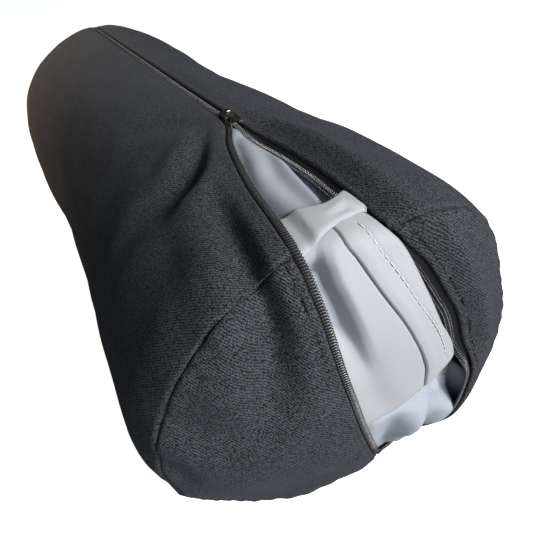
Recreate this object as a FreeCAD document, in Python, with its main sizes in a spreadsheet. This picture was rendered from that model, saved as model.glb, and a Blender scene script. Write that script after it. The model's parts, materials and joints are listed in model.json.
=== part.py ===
import FreeCAD, Part
import Sketcher
import math
import os

from FreeCAD import Placement, Rotation, Vector

# Bolster pillow: a zipped outer cover, part open, over a zipped inner liner
# with its filling.
#
# Frame: +X runs along the roll towards the zipped end, called near; the other
# end is far.  +Z is up, left is -Y and right is +Y.  The origin is on the floor
# under the middle of the roll.  All sizes are millimetres.
#
# The cloth layers are nested envelopes.  An envelope is a revolved outline, a
# cylinder with a domed end at each side, flattened where the roll rests.  Two
# envelopes a cloth thickness apart give a hollow shell, and each sewn panel is
# the part of that shell inside its own pattern outline.  The zips follow shells
# too, so that tape, teeth and slider stay parallel to the cloth.

Constraint = Sketcher.Constraint

DIMENSIONS = [
    # roll
    ("half_length", 310.0),
    ("body_radius", 110.0),
    ("axis_height", 104.0),
    ("rim_reach", 285.0),
    ("shoulder_reach", 275.0),
    ("dome_radius", 237.22),
    ("corner_pull", 0.9),
    # sewn joins; the rise is from the allowance's inner radius to the thread
    ("panel_gap", 0.3),
    ("seam_plane", 284.5),
    ("allowance_outer_radius", 105.6),
    ("allowance_inner_radius", 96.0),
    ("allowance_thickness", 1.6),
    ("allowance_gap", 1.0),
    ("allowance_flat", 1.0),
    ("seam_thread_rise", 2.6),
    ("liner_seam_plane", 275.0),
    ("liner_thread_inset", 0.6),
    ("thread_width", 0.4),
    # opening of the outer zip, and the spare width where it notches the allowances
    ("slot_half_width", 3.8),
    ("slot_far_end", 242.0),
    ("opening_start", 162.0),
    ("opening_left_at_rim", 31.0),
    ("opening_right_at_rim", 14.0),
    ("opening_flare", 1.9),
    ("opening_end_across", 19.0),
    ("opening_end_height", 19.0),
    ("notch_left_spare", 5.0),
    ("notch_right_spare", 12.0),
    # outer zip: offsets across the tape from the folded cloth edge
    ("tape_into_opening", 3.0),
    ("tape_under_cloth", 8.0),
    ("coil_outer_edge", 3.2),
    ("coil_inner_edge", 1.6),
    ("stitch_offset", 2.2),
    # outer zip: gaps in the stitching on the end panel
    ("stitch_break", 0.5),
    ("break_lowest", 42.0),
    ("break_pitch", 13.0),
    # outer zip: far ends
    ("tape_far_end", 248.0),
    ("coil_far_end", 236.0),
    ("stitch_far_setback", 2.0),
    # zone kept clear for the left side of the zip, where the right side meets it
    ("guard_coil_clearance", 0.5),
    ("guard_cloth_clearance", 1.0),
    ("guard_lowest", 16.0),
    # bar tack: drops are below the end of the opening
    ("tack_half_width", 7.0),
    ("tack_top_drop", 1.0),
    ("tack_bottom_drop", 4.0),
    ("slider_x", 155.5),
    ("slider_depth", 1.3),
    # liner zip, on the domed end, in a plane turned about the roll's axis
    ("placket_turn", 26.2),
    ("liner_zip_across", 42.0),
    ("liner_zip_low", -50.0),
    ("liner_zip_high", 70.0),
    ("liner_slot_half", 4.0),
    ("liner_zip_half_gap", 0.6),
    ("liner_tape_half", 11.0),
    ("liner_coil_half", 2.1),
    # how far each runs past the two ends of the liner zip
    ("liner_slot_overrun", 2.0),
    ("liner_tape_overrun", 6.0),
    ("liner_coil_overrun", -1.0),
    ("liner_slider_angle", 16.0),
    ("liner_slider_depth", 8.8),
    # flaps over and beside the liner zip, and the row of stitches
    ("lap_near_edge", 36.0),
    ("lap_far_edge", 62.0),
    ("lap_low", -55.0),
    ("lap_high", 72.0),
    ("underlap_near_edge", -10.0),
    ("underlap_far_edge", 35.5),
    ("underlap_low", -60.0),
    ("underlap_high", 84.0),
    ("lap_topstitch", 49.0),
    ("topstitch_low", -52.0),
    ("topstitch_high", 70.0),
    ("stitch_length", 3.0),
    ("stitch_pitch", 4.2),
    # stop at the closed end of the outer zip; levels are from its middle
    ("stop_length", 3.4),
    ("stop_width", 7.0),
    ("stop_height", 3.6),
    ("stop_wall", 0.6),
    ("stop_channel_low", -1.25),
    ("stop_channel_high", 1.15),
    ("stop_tape_slot_high", -1.0),
    ("stop_beyond_coil", 2.2),
]
# Depth of each cloth face under the outside of the cover:
# name, depth on the tube, depth on the domes, height where the roll is flattened.
CLOTH_FACES = [
    ("cover_out", 0.0, 0.0, 0.0), ("cover_in", 1.8, 1.8, 1.8),
    ("thread_out", 1.95, 1.95, 1.95), ("thread_in", 2.35, 2.35, 2.1),
    ("tape_out", 2.5, 2.5, 2.15), ("tape_in", 3.1, 3.1, 2.2),
    ("coil_out", 0.3, 0.3, 0.3), ("coil_in", 2.3, 2.3, 2.0),
    ("liner_out", 6.5, 9.0, 2.6), ("liner_in", 7.0, 9.5, 3.2),
    ("lthread_out", 7.2, 9.7, 3.4), ("lthread_in", 7.6, 9.9, 3.8),
    ("fill", 7.8, 12.0, 4.0),
    ("lap_out", 3.9, 3.9, 3.9), ("lap_in", 4.4, 4.4, 4.4),
    ("stitch_out", 3.35, 3.35, 3.35), ("stitch_in", 3.75, 3.75, 3.75),
    ("ltape_out", 9.8, 9.8, 9.8), ("ltape_in", 10.2, 10.2, 10.2),
    ("lcoil_out", 8.0, 8.0, 8.0), ("lcoil_in", 9.6, 9.6, 9.6),
]
# Sliders: measure, outer zip (slider_...), liner zip (lslider_...).
SLIDER_SIZES = [
    ("length", 9.6, 9.0), ("width", 7.0, 6.8),
    ("top_low", 1.5, 1.2), ("top_high", 2.5, 1.9),
    ("base_low", -3.6, -2.4), ("base_high", -2.5, -1.7),
    ("wall", 0.8, 0.8), ("wall_low", -0.7, -0.6), ("lip_high", -2.1, -1.62),
    ("post_half", 0.35, 0.2), ("post_length", 3.0, 2.5),
    ("bridge_half", 3.4, 3.0), ("bridge_high", 5.2, 4.1), ("bridge_width", 1.8, 1.6),
    ("window_half", 2.1, 1.9), ("window_low", 3.0, 2.25), ("window_high", 4.2, 3.45),
]
# Pull tabs: measure, outer zip (pull_...), liner zip (lpull_...).
PULL_SIZES = [
    ("pin_radius", 0.45, 0.4), ("arm_gap", 1.15, 1.0), ("width", 4.4, 4.0),
    ("eye_reach", 4.8, 4.2), ("length", 20.0, 14.0), ("thickness", 1.0, 0.8),
    ("pin_height", 3.6, 2.85), ("grip_depth", 0.3, 0.2),
    ("chamfer", 1.1, 1.0), ("taper", 3.5, 2.5),
]
# Folded cloth edges of the opening on the end panel, from above the rim down
# towards the end of the zip: height, left edge across, right edge across.
LIP_ROWS = [
    (225.0, -31.0, 14.0),
    (207.0, -31.0, 14.0),
    (190.0, -27.0, 22.5),
    (166.0, -19.5, 37.0),
    (142.0, -13.0, 50.0),
    (118.0, -6.5, 60.5),
    (94.0, -0.5, 66.0),
    (70.0, 5.0, 65.5),
    (46.0, 11.5, 55.0),
    (28.0, 17.0, 33.0),
]
LIP_LETTERS = "abcdefghij"
LEFT, RIGHT = -1, 1

# Reach of the cutting zones and patterns, well clear of the roll.
CLEAR_LENGTH = 400
CLEAR_ACROSS = 200
CLEAR_BELOW, CLEAR_ABOVE = -20, 260
FLOOR_DEPTH = 60
TOP_PATTERN_RISE = 130
END_PATTERN_REACH = 60
HALF_PANEL_ACROSS = 160.0
END_ZONE_X, END_ZONE_REACH = 250, 80

# Drawing of the folded edges.
TOP_EDGE_STEPS = 12
END_EDGE_SAMPLES = 60
END_EDGE_SPACING = 6.0
STITCH_BREAKS = 12

doc = FreeCAD.newDocument("bolster_pillow")
sheet = doc.addObject("Spreadsheet::Sheet", "Dims")
parts = {}


def fill_sheet():
    """One sheet row per table row: a title, then up to three cells with aliases."""
    rows = [(alias, [(alias, size)]) for alias, size in DIMENSIONS]
    rows += [(face, [(face + "_tube", tube), (face + "_dome", dome), (face + "_flat", flat)])
             for face, tube, dome, flat in CLOTH_FACES]
    for prefix, table in (("slider_", SLIDER_SIZES), ("pull_", PULL_SIZES)):
        rows += [(prefix + measure, [(prefix + measure, outer), ("l" + prefix + measure, liner)])
                 for measure, outer, liner in table]
    rows += [("lip " + letter, [("lip_height_" + letter, height),
                                ("lip_left_" + letter, left), ("lip_right_" + letter, right)])
             for letter, (height, left, right) in zip(LIP_LETTERS, LIP_ROWS)]
    for row, (title, cells) in enumerate(rows, start=1):
        sheet.set("A%d" % row, title)
        for column, (alias, size) in zip("BCD", cells):
            sheet.set("%s%d" % (column, row), repr(size))
            sheet.setAlias("%s%d" % (column, row), alias)
    doc.recompute()


fill_sheet()

# ----------------------------------------------------------------- formulas
# A formula is a number, or text in which numbers and sheet aliases are joined
# by "*" without spaces, and the products by " + " and " - ".


def dim(alias):
    return float(getattr(sheet, alias))


def value(formula):
    total, product = 0.0, 1.0
    for token in str(formula).split():
        if token in "+-":
            product = -1.0 if token == "-" else 1.0
            continue
        for factor in token.split("*"):
            product *= dim(factor) if factor[0].isalpha() else float(factor)
        total, product = total + product, 1.0
    return total


def expression(formula):
    words = str(formula).replace("*", " * ").split()
    return " ".join("Dims." + word if word[0].isalpha() else word for word in words)


def drive(obj, prop, formula):
    obj.setExpression(prop, expression(formula))


def drive_span(obj, prop, low, high):
    obj.setExpression(prop, "(%s) - (%s)" % (expression(high), expression(low)))


axis_z = dim("axis_height")

# ------------------------------------------------------------ shape helpers


def keep(obj, label):
    """Mark an object as a finished piece."""
    obj.Label = label
    parts[label] = obj
    return obj


def block(name, low, high):
    """Box between two corners, each coordinate a formula."""
    box = doc.addObject("Part::Box", name)
    for axis, size, start, end in zip("xyz", ("Length", "Width", "Height"), low, high):
        drive(box, "Placement.Base." + axis, start)
        drive_span(box, size, start, end)
    return box


def slice_zone(name, x_low, x_high):
    """Box over the whole section of the roll between two stations."""
    return block(name, (x_low, -CLEAR_ACROSS, CLEAR_BELOW), (x_high, CLEAR_ACROSS, CLEAR_ABOVE))


def common(name, base, tool):
    both = doc.addObject("Part::Common", name)
    both.Base, both.Tool = base, tool
    return both


def cut(name, base, tool):
    rest = doc.addObject("Part::Cut", name)
    rest.Base, rest.Tool = base, tool
    return rest


def fuse(name, *shapes):
    joined = doc.addObject("Part::MultiFuse", name)
    joined.Shapes = list(shapes)
    return joined


def feature(name, shape, placement=None):
    fixed = doc.addObject("Part::Feature", name)
    fixed.Shape = shape
    if placement is not None:
        fixed.Placement = placement
    return fixed


def interpolated(points):
    curve = Part.BSplineCurve()
    curve.interpolate([Vector(*point) for point in points])
    return curve


def spline(points):
    return interpolated(points).toShape()


def line(start, end):
    return Part.makeLine(Vector(*start), Vector(*end))


def prism(name, edges, direction):
    face = Part.Face(Part.Wire(Part.__sortEdges__(edges)))
    return feature(name, face.extrude(direction))


def hollow_ring(name, hollow_name, outer_radius, inner_radius, x_low, x_high):
    """Ring about the roll's axis."""
    cylinders = []
    for tag, radius in (("_outer", outer_radius), ("_inner", inner_radius)):
        cylinder = doc.addObject("Part::Cylinder", name + tag)
        cylinder.Placement = Placement(Vector(), Rotation(Vector(0, 1, 0), 90))
        drive(cylinder, "Radius", radius)
        drive_span(cylinder, "Height", x_low, x_high)
        drive(cylinder, "Placement.Base.x", x_low)
        drive(cylinder, "Placement.Base.z", "axis_height")
        cylinders.append(cylinder)
    return cut(hollow_name, *cylinders)


# ----------------------------------------------------------- sketch helpers

ORIGIN_POINT = (-1, 1)


def add_named(sketch, name, constraint, bound_to):
    index = sketch.addConstraint(constraint)
    sketch.renameConstraint(index, name)
    sketch.setExpression("Constraints." + name, bound_to)


def place_point(sketch, name, kind, edge, end, formula):
    """Hold one end of a line at a signed distance from the sketch origin."""
    constraint = Constraint(kind, *ORIGIN_POINT, edge, end, value(formula))
    add_named(sketch, name, constraint, expression(formula))


def plane_sketch(body, name, role, lift=None):
    """Sketch on an origin plane of a body, lifted off it by a formula."""
    sketch = body.newObject("Sketcher::SketchObject", name)
    plane = [item for item in body.Origin.OriginFeatures if item.Role == role][0]
    sketch.AttachmentSupport = [(plane, "")]
    sketch.MapMode = "FlatFace"
    if lift is not None:
        drive(sketch, "AttachmentOffset.Base.z", lift)
    return sketch


def closed_outline(sketch, points, horizontal, vertical):
    """Closed polygon in an empty sketch; edge i starts at point i."""
    count = len(points)
    corners = [Vector(x, y, 0) for x, y in points]
    for i in range(count):
        sketch.addGeometry(Part.LineSegment(corners[i], corners[(i + 1) % count]), False)
    for i in range(count):
        sketch.addConstraint(Constraint("Coincident", i, 2, (i + 1) % count, 1))
    for i in horizontal:
        sketch.addConstraint(Constraint("Horizontal", i))
    for i in vertical:
        sketch.addConstraint(Constraint("Vertical", i))


def rectangle(body, name, role, x_low, x_high, y_low, y_high, lift=None):
    """Rectangle on an origin plane, each edge held by a formula."""
    sketch = plane_sketch(body, name, role, lift)
    left, right, low, high = (value(edge) for edge in (x_low, x_high, y_low, y_high))
    corners = [(left, low), (right, low), (right, high), (left, high)]
    closed_outline(sketch, corners, horizontal=(0, 2), vertical=(1, 3))
    place_point(sketch, "x_low", "DistanceX", 0, 1, x_low)
    place_point(sketch, "y_low", "DistanceY", 0, 1, y_low)
    place_point(sketch, "x_high", "DistanceX", 2, 1, x_high)
    place_point(sketch, "y_high", "DistanceY", 2, 1, y_high)
    return sketch


def pad(body, name, sketch, length, midplane=False, reversed_=False, kind="Pad"):
    step = body.newObject("PartDesign::" + kind, name)
    step.Profile = sketch
    drive(step, "Length", length)
    step.Midplane = midplane
    step.Reversed = reversed_
    doc.recompute()


def pocket(body, name, sketch, length, midplane=False, reversed_=False):
    before = body.Shape.Volume
    pad(body, name, sketch, length, midplane, reversed_, kind="Pocket")
    if not body.Shape.Volume < before - 1e-6:
        raise RuntimeError("%s removed nothing" % name)


# ---------------------------------------------------------------- envelopes


def envelope(name):
    """Solid inside one cloth face: revolved outline, then the flat it rests on."""
    sketch = doc.addObject("Sketcher::SketchObject", name + "_outline")
    sketch.Placement = Placement(Vector(), Rotation(Vector(1, 0, 0), 90))
    drive(sketch, "Placement.Base.z", "axis_height")
    tube_depth, dome_depth = dim(name + "_tube"), dim(name + "_dome")
    tube_radius = dim("body_radius") - tube_depth
    apex_x = dim("half_length") - dome_depth
    centre_x = dim("half_length") - dim("dome_radius")
    dome_radius = dim("dome_radius") - dome_depth
    shoulder_x = dim("shoulder_reach")
    corner_x = dim("rim_reach") - dim("corner_pull") * tube_depth
    corner_rise = math.sqrt(dome_radius**2 - (corner_x - centre_x) ** 2)
    sweep = math.atan2(corner_rise, corner_x - centre_x)

    def dome(x, start, end):
        circle = Part.Circle(Vector(x, 0, 0), Vector(0, 0, 1), dome_radius)
        return sketch.addGeometry(Part.ArcOfCircle(circle, start, end), False)

    def straight(x1, y1, x2, y2):
        segment = Part.LineSegment(Vector(x1, y1, 0), Vector(x2, y2, 0))
        return sketch.addGeometry(segment, False)

    near = dome(centre_x, 0, sweep)
    near_slope = straight(corner_x, corner_rise, shoulder_x, tube_radius)
    top = straight(shoulder_x, tube_radius, -shoulder_x, tube_radius)
    far_slope = straight(-shoulder_x, tube_radius, -corner_x, corner_rise)
    far = dome(-centre_x, math.pi - sweep, math.pi)
    base = straight(-apex_x, 0, apex_x, 0)
    loop = (near, near_slope, top, far_slope, far, base)
    for first, second in zip(loop, loop[1:] + loop[:1]):
        sketch.addConstraint(Constraint("Coincident", first, 2, second, 1))
    for geometry, point in ((near, 3), (far, 3), (base, 1), (base, 2)):
        sketch.addConstraint(Constraint("PointOnObject", geometry, point, -1))

    reach = "(Dims.rim_reach - Dims.corner_pull * Dims.%s_tube)" % name
    rise = ("sqrt((Dims.dome_radius - Dims.%s_dome)^2"
            " - (%s - Dims.half_length + Dims.dome_radius)^2)" % (name, reach))
    # name, kind, point at the near side, point at the far side, size, expression
    for label, kind, near_point, far_point, size, bound_to in (
            ("apex", "DistanceX", (base, 2), (base, 1), apex_x,
             "Dims.half_length - Dims.%s_dome" % name),
            ("corner", "DistanceX", (near_slope, 1), (far_slope, 2), corner_x, reach),
            ("corner_rise", "DistanceY", (near_slope, 1), (far_slope, 2), corner_rise, rise),
            ("shoulder", "DistanceX", (top, 1), (top, 2), shoulder_x, "Dims.shoulder_reach"),
            ("radius", "DistanceY", (top, 1), (top, 2), tube_radius,
             "Dims.body_radius - Dims.%s_tube" % name)):
        add_named(sketch, label, Constraint(kind, *ORIGIN_POINT, *near_point, size), bound_to)
        ends = ORIGIN_POINT + far_point if kind == "DistanceY" else far_point + ORIGIN_POINT
        add_named(sketch, label + "_far", Constraint(kind, *ends, size), bound_to)

    turned = doc.addObject("Part::Revolution", name + "_turned")
    turned.Source = sketch
    turned.Axis = Vector(1, 0, 0)
    turned.Angle = 360
    turned.Solid = True
    drive(turned, "Base.z", "axis_height")
    flat = name + "_flat"
    floor = block(name + "_floor", (-CLEAR_LENGTH, -CLEAR_ACROSS, "%s - %d" % (flat, FLOOR_DEPTH)),
                  (CLEAR_LENGTH, CLEAR_ACROSS, flat))
    return cut(name + "_envelope", turned, floor)


def shell(name, layer):
    return cut(name + "_shell", envelope(layer + "_out"), envelope(layer + "_in"))


cover_shell = shell("cover", "cover")
thread_shell = shell("thread", "thread")
tape_shell = shell("tape", "tape")
coil_shell = shell("coil", "coil")
liner_shell = shell("liner", "liner")
lthread_shell = shell("liner_thread", "lthread")
lap_shell = shell("lap", "lap")
stitch_shell = shell("lap_stitch", "stitch")
ltape_shell = shell("liner_tape", "ltape")
lcoil_shell = shell("liner_coil", "lcoil")

# -------------------------------------------- folded edges beside the zip


def top_edge_across(side, x, offset):
    """Where the folded edge lies at x on top of the roll, moved by offset into the opening."""
    start, end = dim("opening_start"), dim("rim_reach")
    half = dim("slot_half_width")
    rim = dim("opening_left_at_rim") if side == LEFT else dim("opening_right_at_rim")
    share = min(1.0, max(0.0, (x - start) / (end - start)))
    power = dim("opening_flare")
    across = half + (rim - half) * (1 - (1 - share) ** power)
    slope = 0.0
    if 0 < share < 1:
        slope = (rim - half) * power * (1 - share) ** (power - 1) / (end - start)
    return side * (across - offset * math.sqrt(1 + slope * slope))


def top_edge(side, offset, near):
    """Points of the flaring edge on top of the roll, from the opening's start to x = near."""
    start = dim("opening_start")
    stations = [start + (near - start) * k / TOP_EDGE_STEPS for k in range(TOP_EDGE_STEPS + 1)]
    return [(x, top_edge_across(side, x, offset), axis_z) for x in stations]


def end_edge(side):
    """Points (across, height) of the folded edge on the end panel, top to bottom."""
    kind = "lip_left_" if side == LEFT else "lip_right_"
    points = [(dim(kind + letter), dim("lip_height_" + letter)) for letter in LIP_LETTERS]
    points.append((dim("opening_end_across") + side * dim("panel_gap") / 2,
                   dim("opening_end_height")))
    return points


def end_edge_offset(side, offset, lowest, x):
    """End panel's edge moved into the opening, in the plane at x, down to a height."""
    curve = interpolated([(0, across, height) for across, height in end_edge(side)])
    first, last = curve.FirstParameter, curve.LastParameter
    moved, previous = [], None
    for i in range(END_EDGE_SAMPLES + 1):
        parameter = first + (last - first) * i / END_EDGE_SAMPLES
        point, heading = curve.value(parameter), curve.tangent(parameter)[0]
        if heading.z > 0:
            heading = heading * -1
        if point.z < lowest:
            continue
        if previous is not None and (point - previous).Length < END_EDGE_SPACING:
            continue
        previous = point
        # square to the downward heading, towards the opening
        inward = Vector(0, side * heading.z, -side * heading.y)
        target = point + inward * offset
        moved.append((x, target.y, target.z))
    return moved


def strip_top(name, side, inner, outer, far, near):
    """Prism over a strip on top of the roll, between two offsets from the folded edge."""
    edges, far_ends, near_ends = [], [], []
    for offset in (inner, outer):
        points = top_edge(side, offset, near)
        far_end = (-far, side * (dim("slot_half_width") - offset), axis_z)
        edges += [spline(points), line(far_end, points[0])]
        far_ends.append(far_end)
        near_ends.append(points[-1])
    edges += [line(*far_ends), line(*near_ends)]
    return prism(name, edges, Vector(0, 0, TOP_PATTERN_RISE))


def strip_end(name, side, inner, outer, lowest):
    """Prism over the same strip on the end panel."""
    first, second = (end_edge_offset(side, offset, lowest, dim("seam_plane"))
                     for offset in (inner, outer))
    edges = [spline(first), spline(second), line(first[0], second[0]), line(first[-1], second[-1])]
    return prism(name, edges, Vector(END_PATTERN_REACH, 0, 0))


def along_zip(label, source, side, inner, outer, far, lowest, clear, breaks):
    """A long strip of one layer beside the zip: over the top, round the rim, down the end.

    The part on the end is cut clear of another zone, and interrupted at each height in breaks."""
    top_pattern = strip_top(label + "_top_pattern", side, inner, outer, far, dim("seam_plane"))
    top = common(label + "_top", source, top_pattern)
    end_pattern = strip_end(label + "_end_pattern", side, inner, outer, lowest)
    end = common(label + "_end", source, end_pattern)
    if clear is not None:
        end = cut(label + "_end_trimmed", end, clear)
    if breaks:
        slits = [Part.makeBox(END_ZONE_REACH, 2 * CLEAR_ACROSS, dim("stitch_break"),
                              Vector(END_ZONE_X, -CLEAR_ACROSS, height)) for height in breaks]
        slit_tool = feature(label + "_breaks", Part.makeCompound(slits))
        end = cut(label + "_end_stitches", end, slit_tool)
    keep(fuse(label + "_strip", top, end), label)


# ------------------------------------------------------------- outer cover


def allowance(name, seam, direction):
    """Turned-in edge of a panel: a flat ring inside the rim, on the "+" or "-" x side of a seam."""
    seam_face = "%s %s 0.5*allowance_gap" % (seam, direction)
    panel_face = "%s %s allowance_thickness" % (seam_face, direction)
    x_low, x_high = seam_face, panel_face
    if direction == "-":
        x_low, x_high = panel_face, seam_face
    hollow = hollow_ring(name, name + "_hollow", "allowance_outer_radius",
                         "allowance_inner_radius", x_low, x_high)
    flat = block(name + "_flat", (x_low + " - 1", -CLEAR_ACROSS, CLEAR_BELOW),
                 (x_high + " + 1", CLEAR_ACROSS, "allowance_flat"))
    return cut(name, hollow, flat)


def opening_pattern():
    """Opening on top of the roll: narrow over the closed zip, then flaring to the rim."""
    edges, far_ends, near_ends = [], [], []
    for side in (LEFT, RIGHT):
        points = top_edge(side, 0, dim("rim_reach"))
        far_end = (-dim("slot_far_end"), side * dim("slot_half_width"), axis_z)
        near_end = (dim("rim_reach") + 10, points[-1][1], axis_z)
        edges += [spline(points), line(far_end, points[0]), line(points[-1], near_end)]
        far_ends.append(far_end)
        near_ends.append(near_end)
    edges += [line(*far_ends), line(*near_ends)]
    return prism("cover_opening_pattern", edges, Vector(0, 0, TOP_PATTERN_RISE))


def half_end_pattern(name, side):
    """Everything on one side of the opening and of the seam below it, at the near end."""
    x = dim("seam_plane") - 5
    fold = [(x, across, height) for across, height in end_edge(side)]
    outside = side * HALF_PANEL_ACROSS
    corners = [fold[-1], (x, fold[-1][1], CLEAR_BELOW), (x, outside, CLEAR_BELOW),
               (x, outside, fold[0][2]), fold[0]]
    edges = [spline(fold)] + [line(start, end) for start, end in zip(corners, corners[1:])]
    return prism(name, edges, Vector(END_PATTERN_REACH, 0, 0))


near_in = allowance("near_tube_allowance", "seam_plane", "-")
near_out = allowance("near_end_allowance", "seam_plane", "+")
far_in = allowance("far_tube_allowance", "-1*seam_plane", "+")
far_out = allowance("far_end_allowance", "-1*seam_plane", "-")
# the near allowances stop either side of the zip tapes
zip_notch = block(
    "zip_notch",
    (270, "-1*opening_left_at_rim - tape_under_cloth - notch_left_spare", "axis_height"),
    (300, "opening_right_at_rim + tape_under_cloth + notch_right_spare", 240))
near_in = cut("near_tube_allowance_notched", near_in, zip_notch)
near_out = cut("near_end_allowance_notched", near_out, zip_notch)

# The tube panel: its two long edges face each other across the zip.
tube_zone = slice_zone("tube_zone", "-1*seam_plane + 0.5*panel_gap", "seam_plane - 0.5*panel_gap")
tube_wall = common("tube_wall", cover_shell, tube_zone)
tube_sewn = fuse("tube_with_allowances", tube_wall, near_in, far_in)
keep(cut("tube_panel", tube_sewn, opening_pattern()), "cover_tube_panel")

# The far end is one disc.
far_zone = slice_zone("far_zone", -CLEAR_LENGTH, "-1*seam_plane - 0.5*panel_gap")
far_wall = common("far_wall", cover_shell, far_zone)
keep(fuse("far_panel", far_wall, far_out), "cover_far_end_panel")

# The zipped end is two half discs, sewn to each other below the zip.
near_zone = slice_zone("near_zone", "seam_plane + 0.5*panel_gap", CLEAR_LENGTH)
near_wall = common("near_wall", cover_shell, near_zone)
near_sewn = fuse("near_end_with_allowance", near_wall, near_out)
for side_name, side in (("left", LEFT), ("right", RIGHT)):
    half_pattern = half_end_pattern("near_%s_pattern" % side_name, side)
    keep(common("near_%s_panel" % side_name, near_sewn, half_pattern),
         "cover_near_end_" + side_name)


def thread_ring(label, seam, notch=None):
    """Seam thread, in the gap between the two allowances of a seam."""
    inner_radius = "allowance_inner_radius + seam_thread_rise"
    loop = hollow_ring(label, label + "_loop", inner_radius + " + thread_width", inner_radius,
                       seam + " - 0.5*thread_width", seam + " + 0.5*thread_width")
    if notch is not None:
        loop = cut(label + "_open", loop, notch)
    keep(loop, label)


thread_ring("near_rim_seam_thread", "seam_plane", zip_notch)
thread_ring("far_rim_seam_thread", "-1*seam_plane")

# ---------------------------------------------------------------- outer zip

left_guard = strip_end("left_zip_guard", LEFT,
                       dim("coil_outer_edge") + dim("guard_coil_clearance"),
                       -dim("tape_under_cloth") - dim("guard_cloth_clearance"),
                       dim("guard_lowest"))
break_heights = [dim("break_lowest") + dim("break_pitch") * k for k in range(STITCH_BREAKS)]
# layer, shell, offset nearer the opening, other offset, far end,
# lowest height of the left and right strips, what clears the right strip, breaks
for layer, source, inner, outer, far, left_lowest, right_lowest, clear, breaks in (
        ("tape", tape_shell, dim("tape_into_opening"), -dim("tape_under_cloth"),
         dim("tape_far_end"), 22.0, 24.0, left_guard, ()),
        ("coil", coil_shell, dim("coil_outer_edge"), dim("coil_inner_edge"),
         dim("coil_far_end"), 27.0, 30.0, left_guard, ()),
        ("stitching", thread_shell, -dim("stitch_offset"),
         -dim("stitch_offset") - dim("thread_width"),
         dim("tape_far_end") - dim("stitch_far_setback"), 26.0, 30.0, None, break_heights)):
    along_zip("zip_%s_left" % layer, source, LEFT, inner, outer, far, left_lowest, None, breaks)
    along_zip("zip_%s_right" % layer, source, RIGHT, inner, outer, far, right_lowest, clear,
              breaks)

# Bar tack across both tapes where the opening ends.
tack_zone = block(
    "tack_zone",
    (270, "opening_end_across - tack_half_width", "opening_end_height - tack_bottom_drop"),
    (320, "opening_end_across + tack_half_width", "opening_end_height - tack_top_drop"))
keep(common("bar_tack", thread_shell, tack_zone), "zip_end_bar_tack")

slider_z = axis_z + dim("body_radius") - dim("slider_depth")


def closed_end_stop():
    """Stop at the closed end: an upside-down U over both coils."""
    body = doc.addObject("PartDesign::Body", "stop_body")
    plan = rectangle(body, "stop_plan", "XY_Plane", "-0.5*stop_length", "0.5*stop_length",
                     "-0.5*stop_width", "0.5*stop_width", "-0.5*stop_height")
    pad(body, "stop_block", plan, "stop_height")
    channel = rectangle(body, "stop_channel", "YZ_Plane", "-0.5*stop_width + stop_wall",
                        "0.5*stop_width - stop_wall", "stop_channel_low", "stop_channel_high")
    pocket(body, "stop_hollow", channel, "stop_length + 2", midplane=True)
    tape_slot = rectangle(body, "stop_tape_slot", "YZ_Plane", "-0.5*stop_width - 1",
                          "0.5*stop_width + 1", "-0.5*stop_height - 0.3", "stop_tape_slot_high")
    pocket(body, "stop_tape_gap", tape_slot, "stop_length + 2", midplane=True)
    x = -dim("coil_far_end") - dim("stop_beyond_coil")
    body.Placement = Placement(Vector(x, 0, slider_z), Rotation())
    keep(body, "zip_closed_end_stop")


closed_end_stop()

# ------------------------------------------------------ sliders and pulls


def round_edges(body, name, radius, fits):
    """Fillet the edges whose two end points satisfy fits."""
    edges = []
    for i, edge in enumerate(body.Shape.Edges, start=1):
        ends = [vertex.Point for vertex in edge.Vertexes]
        if len(ends) == 2 and fits(*ends):
            edges.append("Edge%d" % i)
    if not edges:
        raise RuntimeError("no edges for %s" % name)
    tip = body.Tip
    fillet = body.newObject("PartDesign::Fillet", name)
    fillet.Base = (tip, edges)
    drive(fillet, "Radius", radius)
    doc.recompute()


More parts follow.
